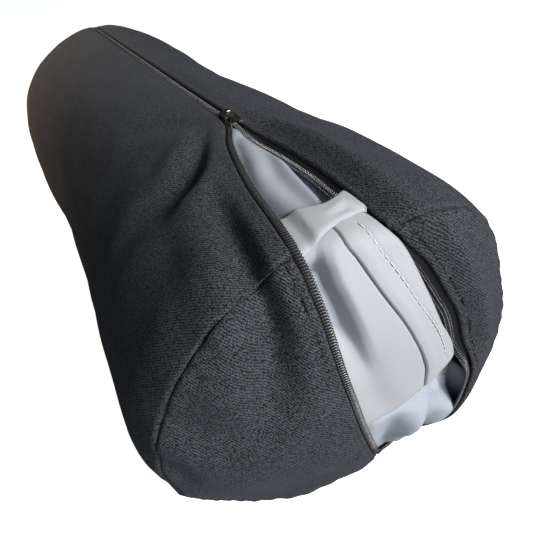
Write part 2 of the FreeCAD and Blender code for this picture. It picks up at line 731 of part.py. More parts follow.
def slider_body(prefix, label, placement):
    """Zip slider: two plates joined by a post at the open side, side walls, a bridge for the pull.

    Its own x runs towards the open side of the zip, and its own z is away from the cloth."""
    body = doc.addObject("PartDesign::Body", label + "_body")
    size = prefix + "_"
    half_length, half_width = "0.5*%slength" % size, "0.5*%swidth" % size
    base_low, base_high = size + "base_low", size + "base_high"
    top_low, top_high = size + "top_low", size + "top_high"
    wall_low = size + "wall_low"

    post = rectangle(body, label + "_post_plan", "XY_Plane",
                     "%s - %spost_length" % (half_length, size), half_length + " - 0.2",
                     "-1*%spost_half" % size, size + "post_half", base_low)
    pad(body, label + "_post", post, "%s - %s" % (top_high, base_low))
    for level, low, high in (("base", base_low, base_high), ("top", top_low, top_high)):
        plate = rectangle(body, "%s_%s_plan" % (label, level), "XY_Plane",
                          "-" + half_length, half_length, "-" + half_width, half_width, low)
        pad(body, "%s_%s_plate" % (label, level), plate, "%s - %s" % (high, low))
    for side_name, y_low, y_high in (
            ("left", "-" + half_width, "-%s + %swall" % (half_width, size)),
            ("right", "%s - %swall" % (half_width, size), half_width)):
        for kind, low, high in (("wall", wall_low, top_high),
                                ("lip", base_low, size + "lip_high")):
            name = "%s_%s_%s" % (label, side_name, kind)
            plan = rectangle(body, name + "_plan", "XY_Plane", "-" + half_length, half_length,
                             y_low, y_high, low)
            pad(body, name, plan, "%s - %s" % (high, low))
    bridge = rectangle(body, label + "_bridge_side", "XZ_Plane", "-1*%sbridge_half" % size,
                       size + "bridge_half", top_high + " - 0.2", size + "bridge_high")
    pad(body, label + "_bridge", bridge, size + "bridge_width", midplane=True)
    window = rectangle(body, label + "_window_side", "XZ_Plane", "-1*%swindow_half" % size,
                       size + "window_half", size + "window_low", size + "window_high")
    pocket(body, label + "_window", window, size + "bridge_width + 1", midplane=True)

    # the outside corners of the plates, then of the bridge, are rounded
    def at(number, target):
        return abs(number - target) < 1e-4

    corner_x, corner_y = value(half_length), value(half_width)
    crown_x, crown_z = dim(size + "bridge_half"), dim(size + "bridge_high")
    round_edges(body, label + "_corners", "0.1*%swidth" % size, lambda start, end: all(
        at(abs(v.x), corner_x) and at(abs(v.y), corner_y) for v in (start, end))
        and abs(start.z - end.z) > 0.3)
    round_edges(body, label + "_crown", "0.125*%swidth" % size, lambda start, end: all(
        at(abs(v.x), crown_x) and at(v.z, crown_z) for v in (start, end))
        and abs(start.y - end.y) > 0.5)
    body.Placement = placement
    keep(body, label)


def pull_body(prefix, label, placement):
    """Pull tab: an eye whose crosspiece sits in the slider's window, then a tapered grip.

    Its own x runs from the crosspiece to the tip."""
    body = doc.addObject("PartDesign::Body", label + "_body")
    size = prefix + "_"
    length, width, thickness = size + "length", size + "width", size + "thickness"
    chamfer, taper, eye_reach = size + "chamfer", size + "taper", size + "eye_reach"

    half_low, half_high = "-0.5*" + width, "0.5*" + width
    shoulder = "%s - %s" % (length, taper)
    tip_low, tip_high = "%s + %s" % (half_low, chamfer), "%s - %s" % (half_high, chamfer)
    outline = [("0", half_low), (shoulder, half_low), (length, tip_low),
               (length, tip_high), (shoulder, half_high), ("0", half_high)]
    plan = plane_sketch(body, label + "_plan", "XY_Plane", "-0.5*" + thickness)
    closed_outline(plan, [(value(x), value(y)) for x, y in outline],
                   horizontal=(0,), vertical=(2, 5))
    for name, kind, edge, end, formula in (
            ("start_x", "DistanceX", 0, 1, "0"),
            ("half_low", "DistanceY", 0, 1, half_low),
            ("half_high", "DistanceY", 4, 2, half_high),
            ("shoulder_x", "DistanceX", 0, 2, shoulder),
            ("tip_x", "DistanceX", 1, 2, length),
            ("tip_low", "DistanceY", 1, 2, tip_low),
            ("tip_high", "DistanceY", 3, 1, tip_high),
            ("shoulder_high_x", "DistanceX", 4, 1, shoulder),
            ("shoulder_high_y", "DistanceY", 4, 1, half_high)):
        place_point(plan, name, kind, edge, end, formula)
    pad(body, label + "_plate", plan, thickness)

    eye = rectangle(body, label + "_eye_plan", "XY_Plane", -3, eye_reach,
                    "-1*%sarm_gap" % size, size + "arm_gap")
    pocket(body, label + "_eye", eye, thickness + " + 2", midplane=True)

    # crosspiece, a round pin along the hinge line
    pin_radius = size + "pin_radius"
    pin = plane_sketch(body, label + "_pin_section", "XZ_Plane")
    circle = pin.addGeometry(Part.Circle(Vector(), Vector(0, 0, 1), dim(pin_radius)), False)
    pin.addConstraint(Constraint("Coincident", circle, 3, *ORIGIN_POINT))
    add_named(pin, "pin_radius", Constraint("Radius", circle, dim(pin_radius)),
              expression(pin_radius))
    pad(body, label + "_pin", pin, width, midplane=True)

    # shallow recess on both faces of the grip
    for face, lift, flip in (("top", "0.5*" + thickness, False),
                             ("under", "-0.5*" + thickness, True)):
        name = "%s_%s_recess" % (label, face)
        recess = rectangle(body, name + "_plan", "XY_Plane",
                           "%s + %s" % (eye_reach, taper), "%s - 0.9*%s" % (length, taper),
                           "%s + 0.9*%s" % (half_low, chamfer),
                           "%s - 0.9*%s" % (half_high, chamfer), lift)
        pocket(body, name, recess, size + "grip_depth", reversed_=flip)
    body.Placement = placement
    keep(body, label)


slider_x = dim("slider_x")
slider_body("slider", "zip_slider", Placement(Vector(slider_x, 0, slider_z), Rotation()))
pull_body("pull", "zip_pull_tab",
          Placement(Vector(slider_x, 0, slider_z + dim("pull_pin_height")), Rotation()))

# -------------------------------------------------------------- inner liner

liner_zone = slice_zone("liner_tube_zone", "-1*liner_seam_plane + 0.5*panel_gap",
                        "liner_seam_plane - 0.5*panel_gap")
keep(common("liner_tube", liner_shell, liner_zone), "liner_tube_panel")
liner_far_zone = slice_zone("liner_far_zone", -CLEAR_LENGTH,
                            "-1*liner_seam_plane - 0.5*panel_gap")
keep(common("liner_far", liner_shell, liner_far_zone), "liner_far_end_panel")
liner_near_zone = slice_zone("liner_near_zone", "liner_seam_plane + 0.5*panel_gap", CLEAR_LENGTH)
liner_near = common("liner_near", liner_shell, liner_near_zone)

placket_rotation = Rotation(Vector(1, 0, 0), dim("placket_turn"))
placket_frame = Placement(Vector(), placket_rotation, Vector(0, 0, axis_z))
zip_across = dim("liner_zip_across")


def placket_block(name, across_low, across_high, along_low, along_high):
    """Block through the domed end, in the placket's turned frame."""
    shape = Part.makeBox(END_ZONE_REACH, across_high - across_low, along_high - along_low,
                         Vector(END_ZONE_X, across_low, axis_z + along_low))
    return feature(name, shape, placket_frame)


def zip_block(name, across_low, across_high, overrun):
    """Placket block along the liner zip, running past both its ends by the overrun."""
    return placket_block(name, across_low, across_high,
                         dim("liner_zip_low") - overrun, dim("liner_zip_high") + overrun)


slot_half = dim("liner_slot_half")
zip_slot = zip_block("liner_zip_slot", zip_across - slot_half, zip_across + slot_half,
                     dim("liner_slot_overrun"))
keep(cut("liner_near_slit", liner_near, zip_slot), "liner_near_end_panel")

for layer, source in (("tape", ltape_shell), ("coil", lcoil_shell)):
    half_gap, half_width = dim("liner_zip_half_gap"), dim("liner_%s_half" % layer)
    for side_name, across_low, across_high in (
            ("left", zip_across - half_width, zip_across - half_gap),
            ("right", zip_across + half_gap, zip_across + half_width)):
        name = "liner_%s_%s" % (layer, side_name[0])
        pattern = zip_block(name + "_pattern", across_low, across_high,
                            dim("liner_%s_overrun" % layer))
        keep(common(name, source, pattern), "liner_zip_%s_%s" % (layer, side_name))

for flap in ("lap", "underlap"):
    pattern = placket_block(flap + "_pattern", dim(flap + "_near_edge"), dim(flap + "_far_edge"),
                            dim(flap + "_low"), dim(flap + "_high"))
    keep(common(flap, lap_shell, pattern), "liner_placket_" + flap)


def lap_topstitching():
    """Separate stitches in a row along the lap."""
    dashes = []
    along = dim("topstitch_low")
    while along + dim("stitch_length") < dim("topstitch_high"):
        corner = Vector(END_ZONE_X, dim("lap_topstitch"), axis_z + along)
        dashes.append(Part.makeBox(END_ZONE_REACH, dim("thread_width"), dim("stitch_length"),
                                   corner))
        along += dim("stitch_pitch")
    row = feature("lap_stitch_pattern", Part.makeCompound(dashes), placket_frame)
    keep(common("lap_stitches", stitch_shell, row), "liner_lap_topstitching")


lap_topstitching()

# Threads of the liner's two rim seams, just inside its cloth.
for end_name, middle in (("near", "liner_seam_plane - liner_thread_inset"),
                         ("far", "-1*liner_seam_plane + liner_thread_inset")):
    thread_zone = slice_zone("liner_%s_thread_zone" % end_name,
                             middle + " - 0.5*thread_width", middle + " + 0.5*thread_width")
    keep(common("liner_%s_thread" % end_name, lthread_shell, thread_zone),
         "liner_%s_rim_seam_thread" % end_name)


def liner_slider_placement():
    """Slider on the liner zip, whose path is a circle about the centre of the dome.

    The slider's own x points up the zip and its own z out of the dome."""
    angle = math.radians(dim("liner_slider_angle"))
    centre = Vector(dim("half_length") - dim("dome_radius"), 0, axis_z)
    radius = dim("dome_radius") - dim("liner_slider_depth")
    path_radius = math.sqrt(radius**2 - zip_across**2)
    from_centre = placket_rotation.multVec(
        Vector(path_radius * math.cos(angle), zip_across, path_radius * math.sin(angle)))
    travel = placket_rotation.multVec(Vector(-math.sin(angle), 0, math.cos(angle)))
    normal = Vector(from_centre).normalize()
    across = normal.cross(travel)
    origin = centre + from_centre
    return Placement(FreeCAD.Matrix(
        travel.x, across.x, normal.x, origin.x,
        travel.y, across.y, normal.y, origin.y,
        travel.z, across.z, normal.z, origin.z,
        0, 0, 0, 1))


liner_slider = liner_slider_placement()
slider_body("lslider", "liner_zip_slider", liner_slider)
# its pull hangs down the zip
half_turn = Rotation(Vector(0, 0, 1), 180)
hanging = Placement(Vector(0, 0, dim("lpull_pin_height")), half_turn)
pull_body("lpull", "liner_zip_pull_tab", liner_slider.multiply(hanging))

# ---------------------------------------------------------------- filling

keep(envelope("fill"), "fibre_fill")

# ---------------------------------------------------------------- write

doc.recompute()
failed = [obj.Name for obj in doc.Objects
          if any(state in obj.State for state in ("Invalid", "Error"))]
if failed:
    raise RuntimeError("failed objects: %s" % failed)
for label, obj in parts.items():
    shape = obj.Shape
    if shape.isNull() or not shape.isValid() or not shape.Solids:
        raise RuntimeError("%s has no valid solid" % label)
os.makedirs("parts", exist_ok=True)
for old in os.listdir("parts"):
    if old.endswith(".step"):
        os.remove(os.path.join("parts", old))
for label, obj in parts.items():
    obj.Shape.exportStep("parts/%s.step" % label)
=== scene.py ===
"""Bolster pillow: a stuffed pale liner inside a dark zipped cover, built round the CAD frame.

The pillow lies along X on the floor (z = 0): its near end faces +X, its far end -X. The zip runs
along the top and down the near end; the left edge of its opening is towards -Y (side -1), the
right edge towards +Y (side 1). Shapes are worked out in millimetres, and angles round the body
start at +Y and rise through the top.
"""
import json
import math
from types import SimpleNamespace

import bmesh
import bpy
import numpy as np
from mathutils import Matrix, Vector

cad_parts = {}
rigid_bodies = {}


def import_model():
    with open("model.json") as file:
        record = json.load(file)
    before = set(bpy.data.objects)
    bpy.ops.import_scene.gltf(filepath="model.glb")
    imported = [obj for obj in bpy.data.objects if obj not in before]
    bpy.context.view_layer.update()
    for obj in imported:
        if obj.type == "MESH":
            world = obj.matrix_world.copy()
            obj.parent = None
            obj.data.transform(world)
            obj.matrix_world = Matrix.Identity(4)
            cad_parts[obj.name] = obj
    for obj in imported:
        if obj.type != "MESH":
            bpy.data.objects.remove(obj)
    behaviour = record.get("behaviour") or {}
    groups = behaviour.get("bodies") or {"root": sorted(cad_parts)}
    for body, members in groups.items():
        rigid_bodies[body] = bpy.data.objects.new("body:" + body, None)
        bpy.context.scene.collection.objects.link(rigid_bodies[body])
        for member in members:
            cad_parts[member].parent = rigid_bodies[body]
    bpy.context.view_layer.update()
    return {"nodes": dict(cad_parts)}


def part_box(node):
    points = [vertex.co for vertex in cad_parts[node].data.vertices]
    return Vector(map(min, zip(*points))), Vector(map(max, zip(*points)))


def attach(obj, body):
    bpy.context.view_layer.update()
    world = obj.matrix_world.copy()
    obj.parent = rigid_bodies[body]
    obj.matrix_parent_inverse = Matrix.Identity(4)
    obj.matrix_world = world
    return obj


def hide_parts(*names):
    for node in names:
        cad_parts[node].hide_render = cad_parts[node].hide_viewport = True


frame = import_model()

MM = 0.001
SIDES = ((-1, "left"), (1, "right"))
tube_low, tube_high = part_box("cover_tube_panel")
BODY_R = (tube_high.y - tube_low.y) * 500.0
AXIS_Z = tube_high.z * 1000.0 - BODY_R
RIM_X = 285.0                   # the two rim seams lie at x = -RIM_X and RIM_X
RIM_R = 106.0
TAPER_X = 255.0                 # beyond this the body narrows to the rim
CAP_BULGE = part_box("cover_far_end_panel")[0].x * -1000.0 - RIM_X
RIM_NORMAL = (0.605, 0.796)     # outward at the rim: along x, and radially
COVER_THICKNESS = 1.2
LINER_THICKNESS = 0.45

# ------------------------------------------------------------------ numbers


def hermite(t, width, start, end, start_slope, end_slope):
    return ((2 * t**3 - 3 * t**2 + 1) * start + (t**3 - 2 * t**2 + t) * width * start_slope
            + (-2 * t**3 + 3 * t**2) * end + (t**3 - t**2) * width * end_slope)


def cell_of(knots, x):
    return np.clip(np.searchsorted(knots, x, side="right") - 1, 0, len(knots) - 2)


def pchip(knots, values, x):
    """Smooth curve through points that never overshoots them."""
    knots, values = np.asarray(knots, float), np.asarray(values, float)
    x = np.clip(np.asarray(x, float), knots[0], knots[-1])
    widths = np.diff(knots)
    rises = np.diff(values) / widths
    before, after = 2 * widths[1:] + widths[:-1], widths[1:] + 2 * widths[:-1]
    with np.errstate(divide="ignore", invalid="ignore"):
        mean = (before + after) / (before / rises[:-1] + after / rises[1:])
    slopes = np.zeros_like(values)
    slopes[1:-1] = np.where(rises[:-1] * rises[1:] > 0, mean, 0.0)
    slopes[0], slopes[-1] = rises[0], rises[-1]
    i = cell_of(knots, x)
    return hermite((x - knots[i]) / widths[i], widths[i], values[i], values[i + 1],
                   slopes[i], slopes[i + 1])


def smooth(start, end, x):
    """Eased step from 0 at start to 1 at end."""
    t = np.clip((x - start) / (end - start), 0, 1)
    return t * t * (3 - 2 * t)


def rounded(distance, width):
    """Quarter-round profile: 1 at distance 0, level with 0 from width on."""
    t = np.clip(1 - distance / width, 0, 1)
    return 1 - np.sqrt(np.clip(1 - t * t, 0, 1))


def unit(vectors):
    return vectors / np.maximum(np.linalg.norm(vectors, axis=-1, keepdims=True), 1e-9)


def polar(y, z):
    """Distance from the pillow's axis, and angle round it."""
    return np.hypot(y, z - AXIS_Z), np.arctan2(z - AXIS_Z, y)


def normals(grid):
    return unit(np.cross(np.gradient(grid, axis=0), np.gradient(grid, axis=1)))


def waves(points, size, seed, count=9):
    """Smooth seeded noise over points, about -1 to 1, with the given feature size."""
    random = np.random.RandomState(seed)
    out = np.zeros(points.shape[:-1])
    for _ in range(count):
        direction = random.normal(size=3)
        direction /= np.linalg.norm(direction)
        frequency = 2 * math.pi / (size * random.uniform(0.7, 1.6))
        out += np.sin((points @ direction) * frequency + random.uniform(0, 6.28))
    return out / count * 1.7


def waves_flat(past, y, size, seed):
    return waves(np.stack([past, y, 0 * past], -1), size, seed)


def interp_columns(x, knots, table):
    return np.stack([np.interp(x, knots, column) for column in table.T], -1)


def along(curve, share):
    """Points of a curve at shares 0..1 of its point count."""
    return interp_columns(share * (len(curve) - 1), np.arange(len(curve)), curve)


def arc_length(points):
    return np.concatenate([[0], np.cumsum(np.linalg.norm(np.diff(points, axis=0), axis=1))])


def resample(points, step):
    """Points about one step apart, and their arc lengths on the first path."""
    arc = arc_length(points)
    at = np.linspace(0, arc[-1], max(2, int(round(arc[-1] / step)) + 1))
    return interp_columns(at, arc, points), at


def dense(points, count=160, fine=500):
    """Smooth curve through 2D points, with count samples evenly spaced."""
    points = np.asarray(points, float)
    arc = arc_length(points)
    at = np.linspace(0, arc[-1], fine)
    curve = np.stack([pchip(arc, column, at) for column in points.T], -1)
    arc = arc_length(curve)
    return interp_columns(np.linspace(0, arc[-1], count), arc, curve)


def gauss_weights(sigma, reach):
    weights = np.exp(-0.5 * (np.arange(-reach, reach + 1) / sigma) ** 2)
    return weights / weights.sum()


def smooth_rows(rows, sigma):
    """Gaussian smoothing along the first axis; both ends keep their trend."""
    reach = int(max(1, sigma * 3))
    weights = gauss_weights(sigma, reach)
    padded = np.concatenate([2 * rows[:1] - rows[1:reach + 1][::-1], rows,
                             2 * rows[-1:] - rows[-reach - 1:-1][::-1]])
    return sum(weight * padded[i:i + len(rows)] for i, weight in enumerate(weights))


def blur(values, row_sigma, column_sigma):
    """Gaussian blur of a 2D array, edges held."""
    for axis, sigma in enumerate((row_sigma, column_sigma)):
        reach = int(max(1, round(sigma * 3)))
        weights = gauss_weights(sigma, reach)
        pad = [(reach, reach) if i == axis else (0, 0) for i in range(2)]
        padded = np.pad(values, pad, mode="edge")
        values = np.apply_along_axis(
            lambda line: np.convolve(line, weights, mode="valid"), axis, padded)
    return values


# ------------------------------------------------------- shape of the cover

# Radial offsets of the stuffed body: a row per station in x, a column every 20 degrees.
COLUMNS = 18
STATION_X = np.array([-285.0, -200.0, -100.0, 0.0, 80.0, 150.0, 200.0, 245.0, 285.0])
OFFSETS = np.array([
    [0, 0, -.4, -3.4, -.1, -.1, -2.4, -3.4, -2.6, 0, .7, 0, 0, 0, 0, 0, 0, 0],
    [0, -.9, -1.3, -.6, -.1, -.1, -1.6, 0, 2.4, 2.3, 1.5, 0, 0, 0, 0, 0, 0, 0],
    [0, -2.2, -3.4, -2.6, -.6, -.3, 0, .6, 1.3, 1.6, 1.8, .8, 0, 0, 0, 0, 0, 0],
    [0, -6, -6.6, -3.6, -.6, -.6, 0, -2, -3.6, -3.5, -2.8, -.7, 0, 0, 0, 0, 0, 0],
    [.2, 1.6, .6, -1.4, -.6, -.5, 0, -1.8, -3, -3.2, -3, -1.1, 0, 0, 0, 0, 0, 0],
    [.1, 1.2, 1, .5, 0, 0, 0, -.6, -.7, -.6, -.5, 0, 0, 0, 0, 0, 0, 0],
    [-.6, 2, 3.1, 2.6, 1.1, .7, 0, 1.7, 2.6, 2.8, 2.8, .3, -1.3, -2.3, -2.5, -.4, .3, 0],
    [-2.6, -4.5, .7, 1.5, .2, .3, 0, 2.9, 3.8, 3.2, .2, -8.6, -8.8, -9, -9, -6.3, 2.2, -.9],
    [-2.7, -6.4, -2.6, .4, -3.2, .3, 0, 1.4, 1.8, 0, -5.9, -9, -9, -9, -9, -7.9, 2.4, -.9],
], float)
OFFSET_SLOPES = np.gradient(OFFSETS, STATION_X, axis=0)
# Shifts along x in the same columns: bulge of the near end, near rim, far rim.
NEAR_BULGE = np.array([-2.6, -2.1, -.3, 0, 0, 0, 0, 0, 0,
                       -.4, -6.3, -12, -12, -12, -12, -2.8, 2.2, -1.5])
NEAR_SHIFT = np.array([0, 0, .6, 3.4, 5.2, .4, 0, -.4, -2.1,
                       -4.3, -7.8, -10.2, -7.9, -6.8, -7.2, -10.3, -5.1, 0])
FAR_SHIFT = np.array([2, 4, 10, 24, 32, 32, 24, 8, 2.3, 0, 0, 0, 2, 3, 2, 1, 0, 1])


def column_weights(phi):
    """The four columns round an angle, each with its Catmull-Rom weight."""
    place = (np.degrees(phi) % 360) / (360.0 / COLUMNS)
    first = np.floor(place).astype(int)
    t = place - first
    weights = ((-t**3 + 2 * t**2 - t) / 2, (3 * t**3 - 5 * t**2 + 2) / 2,
               (-3 * t**3 + 4 * t**2 + t) / 2, (t**3 - t**2) / 2)
    return [((first + k - 1) % COLUMNS, weight) for k, weight in enumerate(weights)]


def periodic(values, phi):
    return sum(weight * values[column] for column, weight in column_weights(phi))


def body_offset(x, phi):
    x, phi = np.broadcast_arrays(x, phi)
    x = np.clip(x, STATION_X[0], STATION_X[-1])
    i = cell_of(STATION_X, x)
    width = np.diff(STATION_X)[i]
    t = (x - STATION_X[i]) / width
    return sum(weight * hermite(t, width, OFFSETS[i, column], OFFSETS[i + 1, column],
                                OFFSET_SLOPES[i, column], OFFSET_SLOPES[i + 1, column])
               for column, weight in column_weights(phi))


def floor_soft(z, softness=3.0):
    """Flatten heights softly against the floor."""
    return 0.5 * (z + np.sqrt(z * z + softness * softness))


def body_xyz(x, phi, extra=0.0):
    taper = np.clip((np.abs(x) - TAPER_X) / (RIM_X - TAPER_X), 0, 1) ** 2
    radius = BODY_R - (BODY_R - RIM_R) * taper + body_offset(x, phi) + extra
    y, z = radius * np.cos(phi), AXIS_Z + radius * np.sin(phi)
    shifted = (x + periodic(NEAR_SHIFT, phi) * smooth(150, 285, x)
               + periodic(FAR_SHIFT, phi) * smooth(150, 285, -x))
    return np.stack([shifted + 0 * y, y, floor_soft(z)], -1)


def rim_radius(phi, side=1):
    return RIM_R + body_offset(side * RIM_X, phi)


def rim_vector(phi, side):
    """Outward direction at a rim; side is the sign of x."""
    return np.stack([side * RIM_NORMAL[0] + 0 * phi,
                     RIM_NORMAL[1] * np.cos(phi), RIM_NORMAL[1] * np.sin(phi)], -1)


def toward_rim(direction, phi, share, side=1):
    """Turn directions towards the rim's outward direction by a share."""
    share = share[..., None]
    return unit(direction * (1 - share) + rim_vector(phi, side) * share)


def cap_xyz(y, z, out=0.0, side=1):
    """Point of a domed end over (y, z); side is the sign of x."""
    radius, phi = polar(y, z)
    share = np.clip(radius / rim_radius(phi, side), 0, 1)
    x = RIM_X + CAP_BULGE * (1 - share**3) + out
    if side > 0:
        x = (x + periodic(NEAR_BULGE, phi) * share**2 * (1 - share**4) * 1.6
             + periodic(NEAR_SHIFT, phi) * share**1.5)
    else:
        x = x - periodic(FAR_SHIFT, phi) * share**1.5 - 8 * (1 - share * share)
    return np.stack([side * x, y, floor_soft(z)], -1)


def cap_normal(y, z, reach=0.5):
    """Outward direction of the near end, leaning towards +X."""
    normal = unit(np.cross(cap_xyz(y + reach, z) - cap_xyz(y - reach, z),
                           cap_xyz(y, z + reach) - cap_xyz(y, z - reach)))
    normal = np.where(normal[..., :1] < 0, -normal, normal)
    return unit(normal * 0.7 + 0.3 * np.array([1.0, 0, 0]))


# Folded edges of the cover along the top of the body, by side: stations x, then y at each.
TOP_EDGE = {
    -1: ([-285, -279, -274, -269, 148, 162, 186, 210, 236, 263, 285],
         [-.5, -.5, -1.2, -3.9, -3.9, -5.4, -15.4, -21.8, -26.9, -30.2, -32.6]),
    1: ([-285, -279, -274, -269, 148, 162, 183, 208, 231, 257, 275, 285],
        [.5, .5, 1.2, 3.9, 3.9, 5.2, 10.2, 12.6, 13.3, 12.4, 12.6, 15.2])}
# The same edges down the near end: (y, z) from the rim down.
END_EDGE = {
    -1: [(-32.6, 204.5), (-31.2, 199.5), (-30, 190), (-28.6, 180), (-27.4, 167), (-25.2, 150),
         (-20.8, 129), (-16.0, 108), (-9.0, 84), (0, 60), (9, 38), (19.5, 16)],
    1: [(15.2, 205.8), (21.5, 195.5), (27.5, 185), (33, 174.5), (40.5, 160), (49.5, 144.5),
        (58, 123), (63.5, 96), (62, 70), (54, 46), (40, 27), (20.5, 16)]}
END_CURVE = {side: dense(points, 300, 400) for side, points in END_EDGE.items()}
# How far the folded edges sink, and how much of that remains where the zip is closed.
EDGE_SINK = {-1: 1.6, 1: 6.5}
CLOSED_SHARE = {-1: 0.35, 1: 0.25}
# Down the near end the sinking fades out between these heights.
SINK_FADE_Z = {-1: (20, 70), 1: (92, 120)}


def edge_phi(x, side):
    """Angle of the folded edge at station x."""
    radius = BODY_R + body_offset(x, math.pi / 2)
    return math.pi / 2 - np.arcsin(pchip(*TOP_EDGE[side], x) / radius)


def edge_drop(distance, side):
    """Sinking of the cloth towards a folded edge."""
    if side < 0:
        return EDGE_SINK[side] * (1 - smooth(0, 12, distance))
    return EDGE_SINK[side] * (1 - smooth(0, 13, distance)) - 1.1 * np.exp(
        -((distance - 13) / 5.0) ** 2)


def drop_share(x, side):
    closed = CLOSED_SHARE[side]
    return closed + (1 - closed) * smooth(150, 185, x)


# Soft valleys pressed into the cover: (x, y, z) points, depth, width.
VALLEYS = [
    ([(232, -36, 210), (250, -40, 208), (268, -43, 205), (284, -46, 199), (296, -46, 177),
      (300, -52, 158), (300, -60, 140)], 12.5, 9.5),
    ([(162, -12, 214), (176, -20, 213), (190, -31, 210), (203, -44, 205), (206, -60, 197),
      (196, -78, 183)], 4.5, 9.0),
    ([(164, -9, 214), (180, -24, 212), (196, -46, 204), (188, -70, 190)], 3.0, 8.0),
    ([(158, -10, 214), (140, -24, 211), (118, -40, 206)], 2.2, 9.0),
    ([(160, 9, 214), (178, 22, 212), (200, 34, 208)], 2.0, 9.0),
    ([(285, -96, 150), (296, -80, 140), (302, -66, 128)], 2.4, 10.0),
    ([(268, -104, 128), (284, -101, 118), (292, -92, 106)], 3.2, 8.0),
    ([(240, -110, 90), (262, -108, 96), (284, -102, 100), (294, -88, 92)], 2.6, 9.0),
    ([(285, -60, 20), (297, -48, 40), (303, -40, 60)], 3.0, 10.0),
]


def valley_depth(points):
    """Depth of the valleys with the low banks beside them."""
    out = np.zeros(points.shape[:-1])
    for line, depth, width in VALLEYS:
        line = np.array(line, float)
        best = np.full(points.shape[:-1], 1e9)
        where = np.zeros(points.shape[:-1])
        count = len(line) - 1
        for i in range(count):
            step = line[i + 1] - line[i]
            t = np.clip(((points - line[i]) @ step) / (step @ step), 0, 1)
            distance = np.linalg.norm(points - (line[i] + t[..., None] * step), axis=-1)
            near = distance < best
            best = np.where(near, distance, best)
            where = np.where(near, (i + t) / count, where)
        fade = np.sin(np.pi * np.clip(where * 0.86 + 0.1, 0, 1)) ** 0.7
        bank = np.exp(-((best - 2.1 * width) / width) ** 2)
        out += depth * fade * (np.exp(-(best / width) ** 2) - 0.28 * bank)
    return out


def unevenness(points):
    """Small unevenness of a stuffed cloth skin."""
    return 0.9 * waves(points, 120, 3) + 0.45 * waves(points, 46, 5)


def rim_dip(phi, distance, depth=2.8, width=3.2):
    """Depth of the cloth sinking into the rim seam, with small puckers."""
    pucker = (0.35 * np.sin(phi * 47 + 2 * np.sin(phi * 5))
              * np.exp(-(distance / 7.0) ** 2))
    return depth * rounded(distance, width) + pucker


# Strip across a folded edge: (distance from the edge, depth under the face), from the hidden
# raw edge, round the roll and out on to the face.
ROLL_R = 1.5
FOLD = [(6.0, 3.0), (5.0, 3.0), (3.8, 3.0), (2.4, 3.0)]
FOLD += [(ROLL_R - ROLL_R * math.cos(a), ROLL_R + ROLL_R * math.sin(a))
         for a in np.radians(np.linspace(90, -90, 9))]
FACE = [2.2, 3.1, 4.2, 5.6, 7.4, 9.6, 12.0, 14.6, 17.6, 21.0, 25.0]
SEW = len(FOLD) + 1             # column of the sewing line
FAR_AWAY = 1e3
TUCKS = (2.0, 4.5, 7.0)         # depths of the seam allowance turned in at a rim
FLOOR_GAP = 0.25


def rim_steps(count):
    """Distances from a rim, 0 to 5 mm, closest together at the rim."""
    return 5.0 * (1 - np.sin(np.radians(np.linspace(90, 0, count))))


def body_panel():
    """Grid and UV of the tube, from the left folded edge round under to the right one."""
    near = RIM_X - rim_steps(8)
    stations = np.concatenate([-near, np.linspace(-279, 140, 120)[1:],
                               np.linspace(140, 279, 60)[1:], near[::-1]])
    left, right = edge_phi(stations, -1), edge_phi(stations, 1) + 2 * math.pi
    strip = FOLD + [(s, 0.0) for s in FACE]
    between = 130
    first, last = left + FACE[-1] / BODY_R, right - FACE[-1] / BODY_R
    # each column: angles, depth, distances from the left and right folded edges
    columns = [(left + s / BODY_R, depth, s, FAR_AWAY) for s, depth in strip]
    columns += [(first + (last - first) * k / between, 0.0, FAR_AWAY, FAR_AWAY)
                for k in range(1, between)]
    columns += [(right - s / BODY_R, depth, FAR_AWAY, s) for s, depth in strip[::-1]]
    phi = np.stack([column[0] for column in columns], 1)
    depth, from_left, from_right = (
        np.array([column[i] for column in columns])[None, :] + 0 * phi for i in (1, 2, 3))
    x = stations[:, None] + 0 * phi

    points = body_xyz(x, phi)
    drop = (edge_drop(from_left, -1) * drop_share(x, -1)
            + edge_drop(from_right, 1) * drop_share(x, 1))
    from_edge = np.minimum(from_left, from_right)
    inner = (np.maximum(valley_depth(points), -2.0) * smooth(5, 22, from_edge)
             - unevenness(points) * smooth(0, 14, from_edge))
    radial = np.stack([0 * phi, np.cos(phi), np.sin(phi)], -1)
    way = toward_rim(radial, phi, smooth(258, RIM_X, np.abs(x)), np.sign(x))
    points = points - way * (drop + inner + depth)[..., None]
    # the panel sinks into the two rim seams
    for side in (1, -1):
        distance = RIM_X - side * x
        dip = np.where(distance < 40, rim_dip(phi, distance), 0)
        points = points - rim_vector(phi, side) * dip[..., None]
    # turned-in seam allowances; at the near rim they fade out beside the opening
    arc = np.minimum(phi[-1] - phi[-1, 0], phi[-1, -1] - phi[-1]) * BODY_R
    tuck = (0.12 + 0.88 * smooth(8, 20, arc))[:, None]
    far_rows = [points[0] - rim_vector(phi[0], -1) * k for k in TUCKS[::-1]]
    near_rows = [points[-1] - rim_vector(phi[-1], 1) * k * tuck for k in TUCKS]
    grid = np.concatenate([np.stack(far_rows), points, np.stack(near_rows)], 0)
    grid[..., 2] = np.maximum(grid[..., 2], FLOOR_GAP)
    uv_x = np.concatenate([x[:1] - k for k in TUCKS[::-1]] + [x] + [x[-1:] + k for k in TUCKS])
    uv_arc = np.concatenate([phi[:1]] * 3 + [phi] + [phi[-1:]] * 3) * BODY_R
    return grid, np.stack([uv_x, uv_arc], -1)


